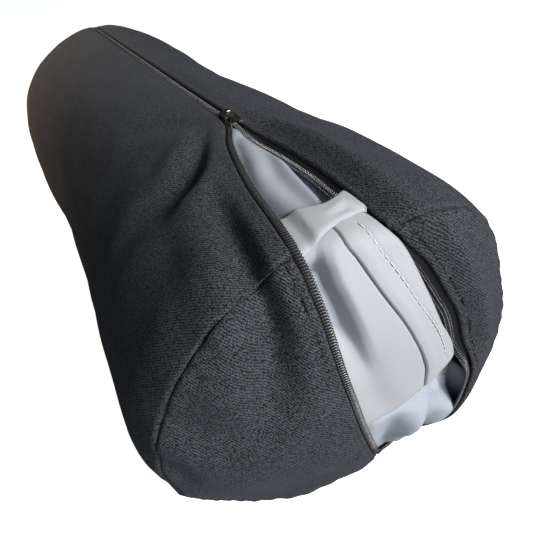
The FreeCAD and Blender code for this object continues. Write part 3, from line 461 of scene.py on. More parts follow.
def coons(left, right, top, bottom, across, down):
    """Surface between four edges: left and right run downwards, top and bottom across."""
    a, b = across[None, :, None], down[:, None, None]
    return ((1 - a) * along(left, down)[:, None] + a * along(right, down)[:, None]
            + (1 - b) * along(top, across)[None] + b * along(bottom, across)[None]
            - ((1 - a) * (1 - b) * left[0] + a * (1 - b) * right[0]
               + (1 - a) * b * left[-1] + a * b * right[-1]))


def rim_arc(start, end, count):
    """(y, z) along the near rim between two angles in degrees."""
    phi = np.radians(np.linspace(start, end, count))
    radius = rim_radius(phi)
    return np.stack([radius * np.cos(phi), AXIS_Z + radius * np.sin(phi)], -1)


def clamp_rim(yz):
    radius, phi = polar(yz[..., 0], yz[..., 1])
    scale = np.minimum(1.0, rim_radius(phi) / np.maximum(radius, 1e-6))
    return np.stack([yz[..., 0] * scale, AXIS_Z + (yz[..., 1] - AXIS_Z) * scale], -1)


def lip_curve(side, count=400):
    """Folded edge down the near end, and the direction away from the opening."""
    lip = along(END_CURVE[side], np.linspace(0, 1, count))
    tangent = unit(np.gradient(lip, axis=0))
    away = np.stack([tangent[:, 1], -tangent[:, 0]], -1)
    if (side < 0) != (away[count // 3, 0] < 0):
        away = -away
    return lip, away


# Half of the near end, by side: upper and lower corner and foot on the rim in degrees, first
# rim point used at the top, steps across.
END_HALF = {-1: (138, 236, 282.0, 12, 60), 1: (68, -66, -78.0, 8, 30)}


def end_half(side):
    """Grid and (y, z) of the near end on one side of the opening."""
    upper, lower, foot, skip, steps = END_HALF[side]
    top_y, top_z = END_EDGE[side][0]
    top_angle = math.degrees(math.atan2(top_z - AXIS_Z, top_y))
    margin = rim_steps(7) / 190
    down = np.concatenate([margin, np.linspace(0.03, 0.97, 120), 1 - margin])
    down = np.unique(np.clip(down, 0, 1))
    across = np.unique(np.concatenate([np.linspace(0, 1, steps), 1 - rim_steps(7) / 70]))
    lip, away = lip_curve(side)
    start = clamp_rim(lip + away * 4.2)
    inner = clamp_rim(coons(
        start, rim_arc(upper, lower, 200),
        np.concatenate([start[:1], rim_arc(top_angle, upper, 200)[skip:]]),
        np.concatenate([start[-1:], rim_arc(foot, lower, 120)[3:]]), across, down))
    lip_down, away_down = along(lip, down), along(away, down)
    strip = FOLD + [(s, 0.0) for s in FACE[:2]]
    folded = np.stack([clamp_rim(lip_down + away_down * s) for s, _ in strip], 1)
    yz = np.concatenate([folded, inner], 1)
    y, z = yz[..., 0], yz[..., 1]
    depth = np.concatenate([[d for _, d in strip], np.zeros(inner.shape[1])])[None, :] + 0 * y

    flat = yz.reshape(-1, 2)
    from_lip = np.min(np.hypot(flat[:, None, 0] - lip[None, ::6, 0],
                               flat[:, None, 1] - lip[None, ::6, 1]), axis=1).reshape(y.shape)
    base = cap_xyz(y, z)
    radius, phi = polar(y, z)
    from_rim = rim_radius(phi) - radius
    drop = edge_drop(from_lip, side) * smooth(*SINK_FADE_Z[side], z)
    relief = (valley_depth(base) * smooth(5, 22, from_lip)
              - unevenness(base) * smooth(0, 14, from_lip))
    way = toward_rim(cap_normal(y, z), phi, 1 - smooth(0, 24, from_rim))
    points = base - way * (drop + relief + depth)[..., None]
    points = points - rim_vector(phi, 1) * rim_dip(phi, from_rim)[..., None]
    points[..., 2] = np.maximum(points[..., 2], FLOOR_GAP)
    return points, yz


def far_end():
    """Rings and (y, z) of the far end, from its middle out."""
    shares = np.unique(np.concatenate([np.linspace(0, 0.93, 60), 1 - rim_steps(9) / RIM_R]))
    share, phi = np.meshgrid(shares, np.radians(np.arange(0, 360, 2.5)), indexing="ij")
    rim = rim_radius(phi, -1)
    radius = share * rim
    y, z = radius * np.cos(phi), AXIS_Z + radius * np.sin(phi)
    points = cap_xyz(y, z, side=-1)
    points[..., 0] += valley_depth(points) - unevenness(points)
    points = points - rim_vector(phi, -1) * rim_dip(phi, rim - radius)[..., None]
    points[..., 2] = np.maximum(points[..., 2], FLOOR_GAP)
    return points, np.stack([y, z], -1)


# --------------------------------------------------------------- mesh making


def grid_faces(rows, columns, closed=False):
    """Quads of a grid; closed joins the last column to the first."""
    i, j = np.meshgrid(np.arange(rows - 1), np.arange(columns if closed else columns - 1),
                       indexing="ij")
    after = (j + 1) % columns
    quads = [i * columns + j, (i + 1) * columns + j, (i + 1) * columns + after,
             i * columns + after]
    return np.stack(quads, -1).reshape(-1, 4)


def mesh_object(name, points, faces, uv=None, material=None):
    mesh = bpy.data.meshes.new(name)
    mesh.from_pydata([tuple(point) for point in np.asarray(points) * MM], [],
                     [tuple(int(i) for i in face) for face in faces])
    if uv is not None:
        layer = mesh.uv_layers.new(name="cloth")
        loops = np.zeros(len(mesh.loops), np.int32)
        mesh.loops.foreach_get("vertex_index", loops)
        layer.data.foreach_set("uv", (np.asarray(uv)[loops] * MM).astype(np.float32).ravel())
    mesh.polygons.foreach_set("use_smooth", np.full(len(mesh.polygons), True))
    mesh.update()
    ob = bpy.data.objects.new(name, mesh)
    bpy.context.scene.collection.objects.link(ob)
    mesh.materials.append(material)
    return ob


def capped_tube(name, rings, material):
    """Rings of points joined into a tube, with a face over each end."""
    rows, columns = rings.shape[:2]
    faces = [tuple(face) for face in grid_faces(rows, columns, closed=True)]
    faces.append(tuple(range(columns))[::-1])
    faces.append(tuple((rows - 1) * columns + k for k in range(columns)))
    return mesh_object(name, rings.reshape(-1, 3), faces, material=material)


def bar_points(start, end, radius, up, count):
    """Rings of a rounded bar, and the number of rings."""
    start, end, up = (np.asarray(v, float) for v in (start, end, up))
    length = np.linalg.norm(end - start)
    direction = (end - start) / length
    sideways = unit(np.cross(direction, up))
    upright = np.cross(sideways, direction)
    angle = np.arange(count) * 2 * math.pi / count
    ring = np.cos(angle)[:, None] * sideways + np.sin(angle)[:, None] * upright
    # (place along the bar, share of the radius)
    stations = [(-radius * 0.95, 0.30), (-radius * 0.55, 0.80), (0.0, 1.0),
                (length, 1.0), (length + radius * 0.55, 0.80), (length + radius * 0.95, 0.30)]
    points = [start + direction * x + ring * radius * share for x, share in stations]
    return np.concatenate(points), len(stations)


def bars_object(name, bars, material, count=7):
    """Many rounded bars in one mesh; bars is a list of (start, end, radius, up)."""
    points, faces, base = [], [], 0
    for bar in bars:
        bar_verts, rings = bar_points(*bar, count)
        points.append(bar_verts)
        faces += [tuple(base + face) for face in grid_faces(rings, count, closed=True)[
            :, [0, 3, 2, 1]]]
        faces.append(tuple(base + k for k in range(count))[::-1])
        faces.append(tuple(base + (rings - 1) * count + k for k in range(count)))
        base += len(bar_verts)
    return mesh_object(name, np.concatenate(points), faces, material=material)


def done(ob, slot, *replaced):
    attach(ob, "root")
    if replaced:
        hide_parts(*replaced)
    return ob


def cloth_piece(name, grid, uv, material, slot, thickness, centre, *replaced, closed=False):
    """Sheet of cloth whose faces look away from centre, thickened inwards."""
    faces = grid_faces(*grid.shape[:2], closed=closed)
    ob = mesh_object(name, grid.reshape(-1, 3), faces, uv.reshape(-1, 2), material)
    centre = Vector(centre) * MM
    if sum((p.center - centre).dot(p.normal) * p.area for p in ob.data.polygons) < 0:
        ob.data.flip_normals()
    solidify = ob.modifiers.new("thickness", "SOLIDIFY")
    solidify.thickness = thickness * MM
    solidify.offset = -1
    solidify.use_even_offset = False
    solidify.use_quality_normals = True
    return done(ob, slot, *replaced)


# ------------------------------------------------------- cloth simulation


def settle(grid, hold, grow, frames, cap, stride=2, bend=0.5, span=9.0):
    """Let a sheet of cloth, held along part of itself and cut too large elsewhere, buckle.

    hold is 0..1 over the grid, grow the share by which loose cloth is too large. Returns folds
    along the sheet's normal, no higher than cap and narrower than about span. The sheet is
    simulated ten times life size so that the solver works in comfortable lengths.
    """
    all_rows, all_columns = np.arange(grid.shape[0]), np.arange(grid.shape[1])
    kept_rows = np.unique(np.append(all_rows[::stride], all_rows[-1]))
    kept_columns = np.unique(np.append(all_columns[::stride], all_columns[-1]))
    kept = np.ix_(kept_rows, kept_columns)
    coarse = grid[kept]
    rows, columns = coarse.shape[:2]
    flat = coarse.reshape(-1, 3)
    mesh = bpy.data.meshes.new("settling")
    mesh.from_pydata([tuple(v) for v in flat * 0.01], [],
                     [tuple(int(i) for i in face) for face in grid_faces(rows, columns)])
    ob = bpy.data.objects.new("settling", mesh)
    scene = bpy.context.scene
    scene.collection.objects.link(ob)
    for group_name, field in (("hold", hold), ("loose", 1 - hold)):
        group = ob.vertex_groups.new(name=group_name)
        weights = field[kept].reshape(-1)
        for i in np.nonzero(weights > 0.001)[0]:
            group.add([int(i)], float(min(1.0, weights[i])), "REPLACE")

    modifier = ob.modifiers.new("settling", "CLOTH")
    cloth = modifier.settings
    cloth.quality = 6
    cloth.mass = 0.2
    cloth.tension_stiffness = cloth.compression_stiffness = 12.0
    cloth.shear_stiffness = 6.0
    cloth.bending_stiffness = bend
    cloth.tension_damping = cloth.compression_damping = cloth.shear_damping = 6.0
    cloth.bending_damping = 1.0
    cloth.air_damping = 3.0
    cloth.vertex_group_mass = "hold"
    cloth.pin_stiffness = 1.0
    cloth.vertex_group_shrink = "loose"
    cloth.shrink_min = 0.0
    cloth.shrink_max = -grow
    cloth.effector_weights.gravity = 0.0
    modifier.collision_settings.use_collision = False
    modifier.point_cache.frame_start = 1
    modifier.point_cache.frame_end = frames
    for number in range(1, frames + 1):
        scene.frame_set(number)
    settled = ob.evaluated_get(bpy.context.evaluated_depsgraph_get()).to_mesh()
    moved = np.zeros(len(settled.vertices) * 3)
    settled.vertices.foreach_get("co", moved)
    moved = moved.reshape(-1, 3) * 100.0
    bpy.data.objects.remove(ob)
    bpy.data.meshes.remove(mesh)
    scene.frame_set(1)
    # guards against a solver that has run away
    if not np.all(np.isfinite(moved)):
        return np.zeros(grid.shape[:2])

    folds = ((moved - flat).reshape(rows, columns, 3) * normals(coarse)).sum(-1)
    spacing = [np.linalg.norm(np.diff(coarse, axis=k), axis=-1).mean() for k in (0, 1)]
    folds = folds - blur(folds, span / spacing[0], span / spacing[1])
    folds = cap * np.tanh(blur(folds, 0.7, 0.7) / cap)
    folds = interp_columns(all_rows, kept_rows, folds)
    folds = interp_columns(all_columns, kept_columns, folds.T).T
    return blur(folds, stride * 0.6, stride * 0.6) * (1 - np.clip(hold, 0, 1))


# ----------------------------------------------------------------- materials


class Graph:
    """Short forms for adding linked nodes to a shader tree."""

    def __init__(self, tree):
        self.tree = tree

    def put(self, socket, value):
        if isinstance(value, bpy.types.NodeSocket):
            self.tree.links.new(value, socket)
        else:
            socket.default_value = value

    def fill(self, node, values):
        for name, value in values.items():
            self.put(node.inputs[name], value)
        return node

    def add(self, kind, *inputs, **settings):
        node = self.tree.nodes.new("ShaderNode" + kind)
        for name, value in settings.items():
            setattr(node, name, value)
        for socket, value in zip(node.inputs, inputs):
            self.put(socket, value)
        return node

    def math(self, operation, a, b=0.0, clamp=False):
        return self.add("Math", a, b, operation=operation, use_clamp=clamp).outputs[0]

    def mix(self, factor, a, b):
        """Colour mix; sockets 6 and 7 are the two colours."""
        node = self.add("Mix", factor, data_type="RGBA")
        return self.fill(node, {6: a, 7: b}).outputs[2]

    def noise(self, place, scale, detail=2.0, rough=0.5):
        return self.fill(self.add("TexNoise"), {
            "Vector": place, "Scale": scale, "Detail": detail, "Roughness": rough,
        }).outputs["Fac"]

    def ramp(self, value, low, high, to_low=0.0, to_high=1.0):
        return self.add("MapRange", value, low, high, to_low, to_high).outputs[0]

    def coordinates(self, kind="Object"):
        return self.add("TexCoord").outputs[kind]

    def stripes(self, value, pitch):
        """Sine stripes 0..1 across a coordinate in metres."""
        angle = self.math("MULTIPLY", value, 2 * math.pi / pitch)
        wave = self.math("SINE", self.math("ADD", angle, 0.0))
        return self.math("ADD", self.math("MULTIPLY", wave, 0.5), 0.5)


class Surface(Graph):
    """A new material and its Principled shader."""

    def __init__(self, name):
        self.material = bpy.data.materials.new(name)
        self.material.use_nodes = True
        super().__init__(self.material.node_tree)
        self.shader = next(n for n in self.tree.nodes if n.type == "BSDF_PRINCIPLED")

    def shade(self, values):
        self.fill(self.shader, values)
        return self.material

    def bump(self, height, strength, distance):
        return self.fill(self.add("Bump"), {
            "Height": height, "Strength": strength, "Distance": distance}).outputs[0]


def opaque(color):
    return (*color, 1)


def cloth_material(name, dark, light, fleck, pitch, depth, rough, sheen, tint, blotch=0.10,
                   use_uv=True, twill=True):
    """Woven cloth: fine thread relief, flecks of lighter fibre, uneven dye, grazing sheen.

    pitch and depth are the weave's, in metres; fleck is the contrast of the fibres, blotch that
    of the dye.
    """
    g = Surface(name)
    place = g.coordinates()
    split = g.add("SeparateXYZ", g.coordinates("UV") if use_uv else place)
    u, v = split.outputs[0], split.outputs[1]
    if twill:
        warp = g.noise(place, 260.0)
        wobble = g.math("MULTIPLY", g.math("SUBTRACT", warp, 0.5), pitch * 1.2)
        rising = g.stripes(g.math("ADD", g.math("ADD", u, v), wobble), pitch * 1.9)
        falling = g.stripes(g.math("ADD", g.math("SUBTRACT", u, v), wobble), pitch * 0.95)
        weave = g.math("ADD", g.math("MULTIPLY", rising, 0.65),
                       g.math("MULTIPLY", falling, 0.35))
    else:
        weave = g.math("MULTIPLY", g.stripes(u, pitch), g.stripes(v, pitch))
    fibres = g.noise(place, 1.0 / (pitch * 0.80), rough=0.75)
    clumps = g.noise(place, 1.0 / (pitch * 2.6), rough=0.6)
    dye = g.noise(place, 14.0, detail=3.0, rough=0.6)
    # lightness: fibres, clumps and weave, spread by the fleck contrast, then the dye
    tone = g.math("ADD", g.math("MULTIPLY", g.ramp(fibres, 0.36, 0.66), 0.54),
                  g.math("MULTIPLY", g.ramp(clumps, 0.36, 0.64), 0.10))
    tone = g.math("ADD", tone, g.math("MULTIPLY", weave, 0.36))
    tone = g.math("MULTIPLY", g.math("SUBTRACT", tone, 0.5), fleck)
    tone = g.math("ADD", tone, 0.5, clamp=True)
    dye = g.math("MULTIPLY", g.math("SUBTRACT", dye, 0.5), blotch)
    tone = g.math("ADD", tone, dye, clamp=True)
    height = g.math("ADD", g.math("MULTIPLY", weave, 0.30), g.math("MULTIPLY", fibres, 1.0))
    return g.shade({
        "Base Color": g.mix(tone, opaque(dark), opaque(light)),
        "Roughness": g.ramp(clumps, 0.3, 0.7, rough - 0.05, min(1.0, rough + 0.05)),
        "Sheen Weight": sheen,
        "Sheen Roughness": 0.45,
        "Sheen Tint": opaque(tint),
        "Specular IOR Level": 0.25,
        "Normal": g.bump(height, strength=1.0, distance=depth)})


def nylon(name, color, rough, specular, dust):
    """Moulded nylon with a thin gloss and a little dust."""
    g = Surface(name)
    place = g.coordinates()
    grain = g.noise(place, 1400.0)
    patches = g.noise(place, 90.0, detail=3.0)
    dusty = tuple(c * 1.5 + dust for c in color)
    return g.shade({
        "Base Color": g.mix(g.ramp(patches, 0.35, 0.7), opaque(color), opaque(dusty)),
        "Roughness": g.ramp(grain, 0.3, 0.7, rough - 0.06, rough + 0.1),
        "Specular IOR Level": specular,
        "Coat Weight": 0.35,
        "Coat Roughness": 0.22,
        "Normal": g.bump(grain, strength=0.35, distance=0.0001)})


def thread(name, color):
    """Twisted sewing thread: fine slanted strands."""
    g = Surface(name)
    place = g.coordinates()
    x, y, z = g.add("SeparateXYZ", place).outputs
    strands = g.stripes(g.math("ADD", g.math("ADD", x, y), z), pitch=0.0007)
    wear = g.noise(place, 500.0)
    dark, light = (c * 0.7 for c in color), (min(1, c * 1.25) for c in color)
    return g.shade({
        "Base Color": g.mix(g.math("MULTIPLY", strands, wear), opaque(dark), opaque(light)),
        "Roughness": g.ramp(wear, 0.3, 0.7, 0.5, 0.7),
        "Sheen Weight": 0.2,
        "Normal": g.bump(strands, strength=0.5, distance=0.0002)})


def metal(name, base, worn, rough):
    """Cast metal whose finish has worn on its edges and along scratches."""
    g = Surface(name)
    place = g.coordinates()
    edge = g.ramp(g.add("NewGeometry").outputs["Pointiness"], 0.50, 0.56)
    scratches = g.noise(place, 900.0, detail=4.0, rough=0.7)
    patches = g.noise(place, 220.0, detail=3.0)
    wear = g.math("MULTIPLY", edge, g.ramp(patches, 0.4, 0.6), clamp=True)
    scratched = g.math("MULTIPLY", g.ramp(scratches, 0.62, 0.72), 0.25)
    wear = g.math("ADD", wear, scratched, clamp=True)
    return g.shade({
        "Base Color": g.mix(wear, opaque(base), opaque(worn)),
        "Metallic": 0.92,
        "Roughness": g.ramp(scratches, 0.3, 0.7, rough - 0.07, rough + 0.12),
        "Normal": g.bump(scratches, strength=0.25, distance=0.0001)})


COVER = cloth_material(
    "cover_charcoal_twill", dark=(0.001, 0.0011, 0.0016), light=(0.074, 0.078, 0.090),
    fleck=3.2, pitch=0.00085, depth=0.00030, rough=0.93, sheen=0.05, tint=(0.62, 0.70, 0.86))
SATIN = dict(fleck=0.75, pitch=0.00055, depth=0.00008, rough=0.58, sheen=0.10,
             tint=(0.85, 0.92, 1.0), twill=False)
LINER = cloth_material("liner_pale_satin", dark=(0.345, 0.350, 0.372),
                       light=(0.455, 0.460, 0.482), **SATIN)
# darker, bluer copy of the liner satin: painted shade, with the blue cast of the cool fill
# painted into the colour
LINER_PAINTED_SHADE = cloth_material("liner_pale_satin_blue", dark=(0.305, 0.335, 0.39),
                            light=(0.41, 0.445, 0.50), **SATIN)
TAPE = cloth_material(
    "zip_tape_black", dark=(0.005, 0.005, 0.006), light=(0.020, 0.020, 0.022), fleck=1.2,
    pitch=0.0006, depth=0.00018, rough=0.85, sheen=0.03, tint=(0.8, 0.85, 1.0), use_uv=False)
COIL = nylon("zip_coil_black_nylon", color=(0.030, 0.030, 0.033), rough=0.26, specular=1.0,
             dust=0.01)
DARK_THREAD = thread("dark_sewing_thread", (0.010, 0.010, 0.012))
# pale grey thread for the right coil's chain stitches: real stitches, made pale as a painted
# highlight for the glints on the coil's turns
STITCH_AND_GLINT_THREAD = thread("grey_sewing_thread", (0.42, 0.42, 0.43))
PALE_THREAD = thread("pale_sewing_thread", (0.80, 0.81, 0.84))
METAL = metal("zip_slider_dark_metal", base=(0.075, 0.070, 0.062), worn=(0.52, 0.45, 0.34),
              rough=0.34)
STOP_METAL = metal("zip_stop_dark_metal", base=(0.020, 0.019, 0.018),
                   worn=(0.060, 0.055, 0.048), rough=0.5)
LINER_METAL = metal("liner_slider_pale_metal", base=(0.55, 0.56, 0.58),
                    worn=(0.75, 0.74, 0.72), rough=0.3)

# ------------------------------------------------------------ cover pieces

# Sewing lines by side: (points, normals) along the top, then down the near end.
sewing_lines = {-1: [], 1: []}


def cover_piece(name, grid, uv, replaced, closed=False):
    cloth_piece(name, grid, uv, COVER, "cover_cloth", COVER_THICKNESS, (0, 0, 104), replaced,
                closed=closed)


def make_tube():
    grid, uv = body_panel()
    rows, columns = np.arange(grid.shape[0]), np.arange(grid.shape[1])
    from_rim = np.minimum(rows, rows[::-1])[:, None]
    from_lip = np.minimum(columns, columns[::-1])[None, :]
    strip = len(FOLD) + len(FACE)
    # held at the rims, along the folded edges and near the floor
    hold = np.maximum(1 - smooth(9, 20, from_rim), 1 - smooth(strip - 4, strip + 6, from_lip))
    hold = np.maximum(hold, 1 - smooth(2, 22, grid[..., 2]))
    slack = settle(grid, hold, grow=0.035, frames=24, cap=1.1, stride=3, bend=3.0, span=26.0)
    radial = (grid - np.array([0, 0, AXIS_Z])) * np.array([0, 1, 1])
    facing = np.sign((normals(grid) * radial).sum(-1))
    grid = grid + unit(radial) * (slack * facing)[..., None]
    normal = normals(grid)
    for side, column in ((-1, SEW), (1, -1 - SEW)):
        sewing_lines[side].append((grid[3:-3, column], normal[3:-3, column]))
    cover_piece("cover_tube", grid, uv, "cover_tube_panel")


def make_end_half(side, word):
    grid, yz = end_half(side)
    sewing_lines[side].append((grid[8:-4, SEW], normals(grid)[8:-4, SEW]))
    cover_piece("cover_near_" + word, grid, yz, "cover_near_end_" + word)


make_tube()
for side, word in SIDES:
    make_end_half(side, word)
cover_piece("cover_far_end", *far_end(), "cover_far_end_panel", closed=True)

# ------------------------------------------------ threads, tapes and teeth

ZIP_FAR_X = -267.0
COIL_PITCH = 1.45
TAPE_TILT = {-1: 16.0, 1: 46.0}         # degrees into the opening, where it is open
TAPE_DEPTH = 3.45                       # of the tape's middle under the folded edge
TAPE_RISE = {-1: 1.35, 1: 0.6}          # of the tape towards its free edge
TAPE_WIDENING = {-1: 0.5, 1: 3.0}       # of the tape, where it is open
TILT_FADE_Z = {-1: (18, 60), 1: (90, 118)}
# Stitches holding the coil: distance from the cloth edge, height, length, radius, material. On
# the right the stitches are pale grey: a painted highlight for the glints on the coil's turns.
CORD = {-1: (1.2, 1.04, 0.8, 0.13, DARK_THREAD), 1: (1.5, 1.10, 0.30, 0.22, STITCH_AND_GLINT_THREAD)}


def zip_path(side, step=0.5):
    """Line where the tape leaves the folded cloth edge, with its directions and openness."""
    x = np.arange(ZIP_FAR_X, 281.0, 1.0)
    phi = edge_phi(x, side)
    drop = EDGE_SINK[side] * drop_share(x, side) * (1 if side < 0 else 0.9)
    radial = np.stack([0 * x, np.cos(phi), np.sin(phi)], -1)
    top_normal = toward_rim(radial, phi, smooth(258, RIM_X, np.abs(x)))
    top = body_xyz(x, phi) - top_normal * drop[:, None]

    lip = END_CURVE[side]
    y, z = lip[lip[:, 1] < 199.0].T
    radius, phi = polar(y, z)
    end_share = 1 - smooth(0, 24, rim_radius(phi) - radius)
    end_normal = toward_rim(cap_normal(y, z), phi, end_share)
    drop = (1.6 if side < 0 else 5.8) * smooth(*SINK_FADE_Z[side], z)
    end = cap_xyz(y, z) - end_normal * drop[:, None]

    raw = np.concatenate([top, end])
    points, arc = resample(raw, step)
    normal = interp_columns(arc, arc_length(raw), np.concatenate([top_normal, end_normal]))
    points, normal = smooth_rows(points, 3.0 / step), smooth_rows(normal, 6.0 / step)
    tangent = unit(np.gradient(points, axis=0))
    inward = unit(np.cross(tangent, normal))
    if inward[10, 1] * side >= 0:
        inward = -inward
    normal = np.cross(inward, tangent)
    backwards = (normal * np.array([1.0, 0, 1.0])).sum(1, keepdims=True) < 0
    normal = np.where(backwards, -normal, normal)

    openness = np.where(points[:, 2] < 190, 1.0, smooth(152, 190, points[:, 0]))
    openness = (openness * smooth(*TILT_FADE_Z[side], points[:, 2]))[:, None]
    tilt = np.radians(TAPE_TILT[side]) * openness
    return SimpleNamespace(
        side=side, points=points, normal=normal, inward=inward, tangent=tangent, arc=arc,
        openness=openness, across=inward * np.cos(tilt) - normal * np.sin(tilt),
        up=normal * np.cos(tilt) + inward * np.sin(tilt))


def ribbon(path, width, height, teeth=False):
    """Line on the tape: width from the cloth edge into the opening, height over its middle."""
    if width <= 0:
        return path.points - path.normal * (TAPE_DEPTH - height) + path.inward * width
    more = TAPE_WIDENING[path.side] * path.openness
    width = width + more if teeth else width * (1 + more / 3.4)
    depth = TAPE_DEPTH - TAPE_RISE[path.side] * np.minimum(1.0, width / 2.4)
    return path.points - path.normal * depth + path.across * width + path.up * height


def make_tape(name, path):
    half = 0.26
    widths = [-5.0, -4.0, -2.8, -1.6, -0.8, 0.4, 1.4, 2.2, 3.0, 3.35]
    section = [(w, half) for w in widths] + [(3.5, 0.0)]
    section += [(w, -half) for w in widths[::-1]] + [(-5.2, 0.0)]
    rings = np.stack([ribbon(path, w, height) for w, height in section], 1)[::2]
    return capped_tube(name, rings, TAPE)


def make_coil(name, path):
    bars = []
    first = 0.6 + (0.0 if path.side < 0 else COIL_PITCH / 2)
    lines = (ribbon(path, 0.45, 0.62, True), ribbon(path, 3.30, 0.72, True), path.up,
             path.tangent)
    for at in np.arange(first, path.arc[-1] - 1.0, COIL_PITCH):
        inner, outer, up, tangent = (interp_columns(at, path.arc, line) for line in lines)
        slant = tangent * 0.22
        bars.append((inner - slant, outer + slant, 0.40, up))
        # the hump of each turn, where it would meet the other side
        hump = outer + unit(outer - inner) * 0.05
        bars.append((hump - up * 0.35 + slant, hump + up * 0.14 + slant, 0.46, tangent))
    return bars_object(name, bars, COIL)


def make_cord(name, path):
    """Chain stitches that hold the coil to the tape; the pale grey row on the right is also a
    painted highlight for the coil's glints.
    """
    width, lift, length, radius, material = CORD[path.side]
    line = ribbon(path, width, lift, True)
    bars = [(interp_columns(at, path.arc, line), interp_columns(at + length, path.arc, line),
             radius, interp_columns(at, path.arc, path.up))
            for at in np.arange(1.0, path.arc[-1] - 2.5, COIL_PITCH)]
    return bars_object(name, bars, material, count=5)


def stitch(start, end, rise, radius, up):
    """Two bars from start to end, meeting at a raised middle."""
    middle = (start + end) / 2 + up * rise
    return [(start, middle, radius, up), (middle, end, radius, up)]


def stitch_row(name, line, normal, arc, pitch, radius, material, length=2.6, margin=2.0):
    bars = []
    for at in np.arange(margin, arc[-1] - margin - length, pitch):
        bars += stitch(interp_columns(at, arc, line), interp_columns(at + length, arc, line),
                       radius * 0.5, radius, interp_columns(at, arc, normal))
    return bars_object(name, bars, material, count=5)


def make_rim_thread(name, side):
    """Stitches just visible in the bottom of a rim seam."""
    phi = np.radians(np.arange(0, 360, 0.25))
    line = body_xyz(np.full(len(phi), side * RIM_X), phi) - rim_vector(phi, side) * 2.9
    if side > 0:
        # leave the opening free, and start the row beside it
        degrees = np.degrees(phi)
        line = line[(degrees < 78) | (degrees > 110)]
        gaps = np.linalg.norm(np.diff(line, axis=0), axis=1)
        line = np.roll(line, -int(np.argmax(gaps) + 1), axis=0)
    line, arc = resample(line, 0.8)
    normal = unit(line - np.array([side * 240.0, 0, AXIS_Z]))
    return stitch_row(name, line, normal, arc, 3.3, 0.22, DARK_THREAD)


def make_edge_stitching(name, side):
    """Row that sews the folded cloth edge to the tape, a little way back from the fold."""
    sink = 0.04
    bars = []
    for line, normal in sewing_lines[side]:
        away = line - np.array([230.0, 0.0, AXIS_Z])
        normal = normal * np.sign((normal * away).sum(-1).mean())
        line, arc = resample(line, 0.5)
        normal = along(normal, np.linspace(0, 1, len(line)))
        for at in np.arange(3.0, arc[-1] - 5.0, 3.3):
            start, end = (interp_columns(at + more, arc, line) for more in (0.0, 2.4))
            up = unit(interp_columns(at + 1.2, arc, normal))
            bars += stitch(start - up * sink, end - up * sink, 0.06 + sink, 0.11, up)
    return bars_object(name, bars, DARK_THREAD, count=5)


def make_bar_tack():
    """Close zigzag across both tapes where the opening ends."""
    low, high = (corner * 1000 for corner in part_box("zip_end_bar_tack"))
    inset = np.array([2.6, 0, 0])
    bars = []
    for k, z in enumerate(np.arange(low.z, high.z + 0.01, 0.32)):
        start = cap_xyz(low.y + 0.3 * (k % 2), z) - inset
        end = cap_xyz(high.y, z + 0.16) - inset
        bars += stitch(start, end, 0.7, 0.2, np.array([0.9, 0, -0.2]))
    return bars_object("zip_bar_tack", bars, DARK_THREAD, count=6)


def make_far_stop(path, tape):
    """Crimp squeezed over both coils at the closed end, sunk between the cloth edges."""
    low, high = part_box("zip_closed_end_stop")
    start = path.points[:, 0].min() + 1.2
    end, width = start + (high.x - low.x) * 1000, high.y * 1000 - 0.3
    z = max(v.co.z * 1000 for v in tape.data.vertices if start < v.co.x * 1000 < end) - 0.9
    angle = np.linspace(0, 2 * np.pi, 36, endpoint=False)
    flat_y, flat_z = (np.sign(wave) * np.abs(wave) ** 0.6
                      for wave in (np.cos(angle), np.sin(angle)))
    # (share of the length, share of the full section)
    stations = [(0, 0.72), (0.06, 0.90), (0.16, 1), (0.38, 1), (0.5, 0.93), (0.62, 1),
                (0.84, 1), (0.94, 0.90), (1, 0.72)]
    rings = [np.stack([np.full(len(angle), start + (end - start) * share),
                       width * flat_y * (0.9 + 0.1 * size), z + 0.5 + 1.25 * size * flat_z], -1)
             for share, size in stations]
    return capped_tube("zip_far_stop_crimp", np.stack(rings), STOP_METAL)


paths = {side: zip_path(side) for side, _ in SIDES}
tapes = {}
for side, word in SIDES:
    tapes[side] = done(make_tape("zip_tape_%s_woven" % word, paths[side]), "zip_tape",
                       "zip_tape_" + word)
    done(make_coil("zip_coil_%s_teeth" % word, paths[side]), "zip_coil", "zip_coil_" + word)
    done(make_cord("zip_coil_%s_stitching" % word, paths[side]), "dark_thread")
for side, word in SIDES:
    done(make_edge_stitching("zip_edge_stitching_" + word, side), "dark_thread",
         "zip_stitching_" + word)
done(make_bar_tack(), "dark_thread", "zip_end_bar_tack")
done(make_far_stop(paths[-1], tapes[-1]), "zip_metal", "zip_closed_end_stop")
for side, word in ((1, "near"), (-1, "far")):
    done(make_rim_thread(word + "_rim_seam_stitches", side), "dark_thread",
         word + "_rim_seam_thread")

# -------------------------------------------------------------- the liner

# The liner's skin is a table over (past, y): past is the distance past the near rim, negative
# on top of the body and positive down the near end.
INSET = 11.0                    # of the skin under the cover
LIFT = 4.0                      # of the placket over the skin
LAP_LIFT = LIFT + 0.9
PAST_STEP, Y_STEP = 1.5, 2.5
SKIN_PAST = np.arange(-170.0, 205.0 + 0.1, PAST_STEP)
SKIN_Y = np.arange(-75.0, 100.0 + 0.1, Y_STEP)


def rim_height(y):
    """Height of the liner's rim above the floor at y."""
    radius = rim_radius(np.arctan2(104.0, y)) - INSET
    return AXIS_Z + np.sqrt(np.maximum(radius * radius - np.asarray(y) ** 2, 1.0))


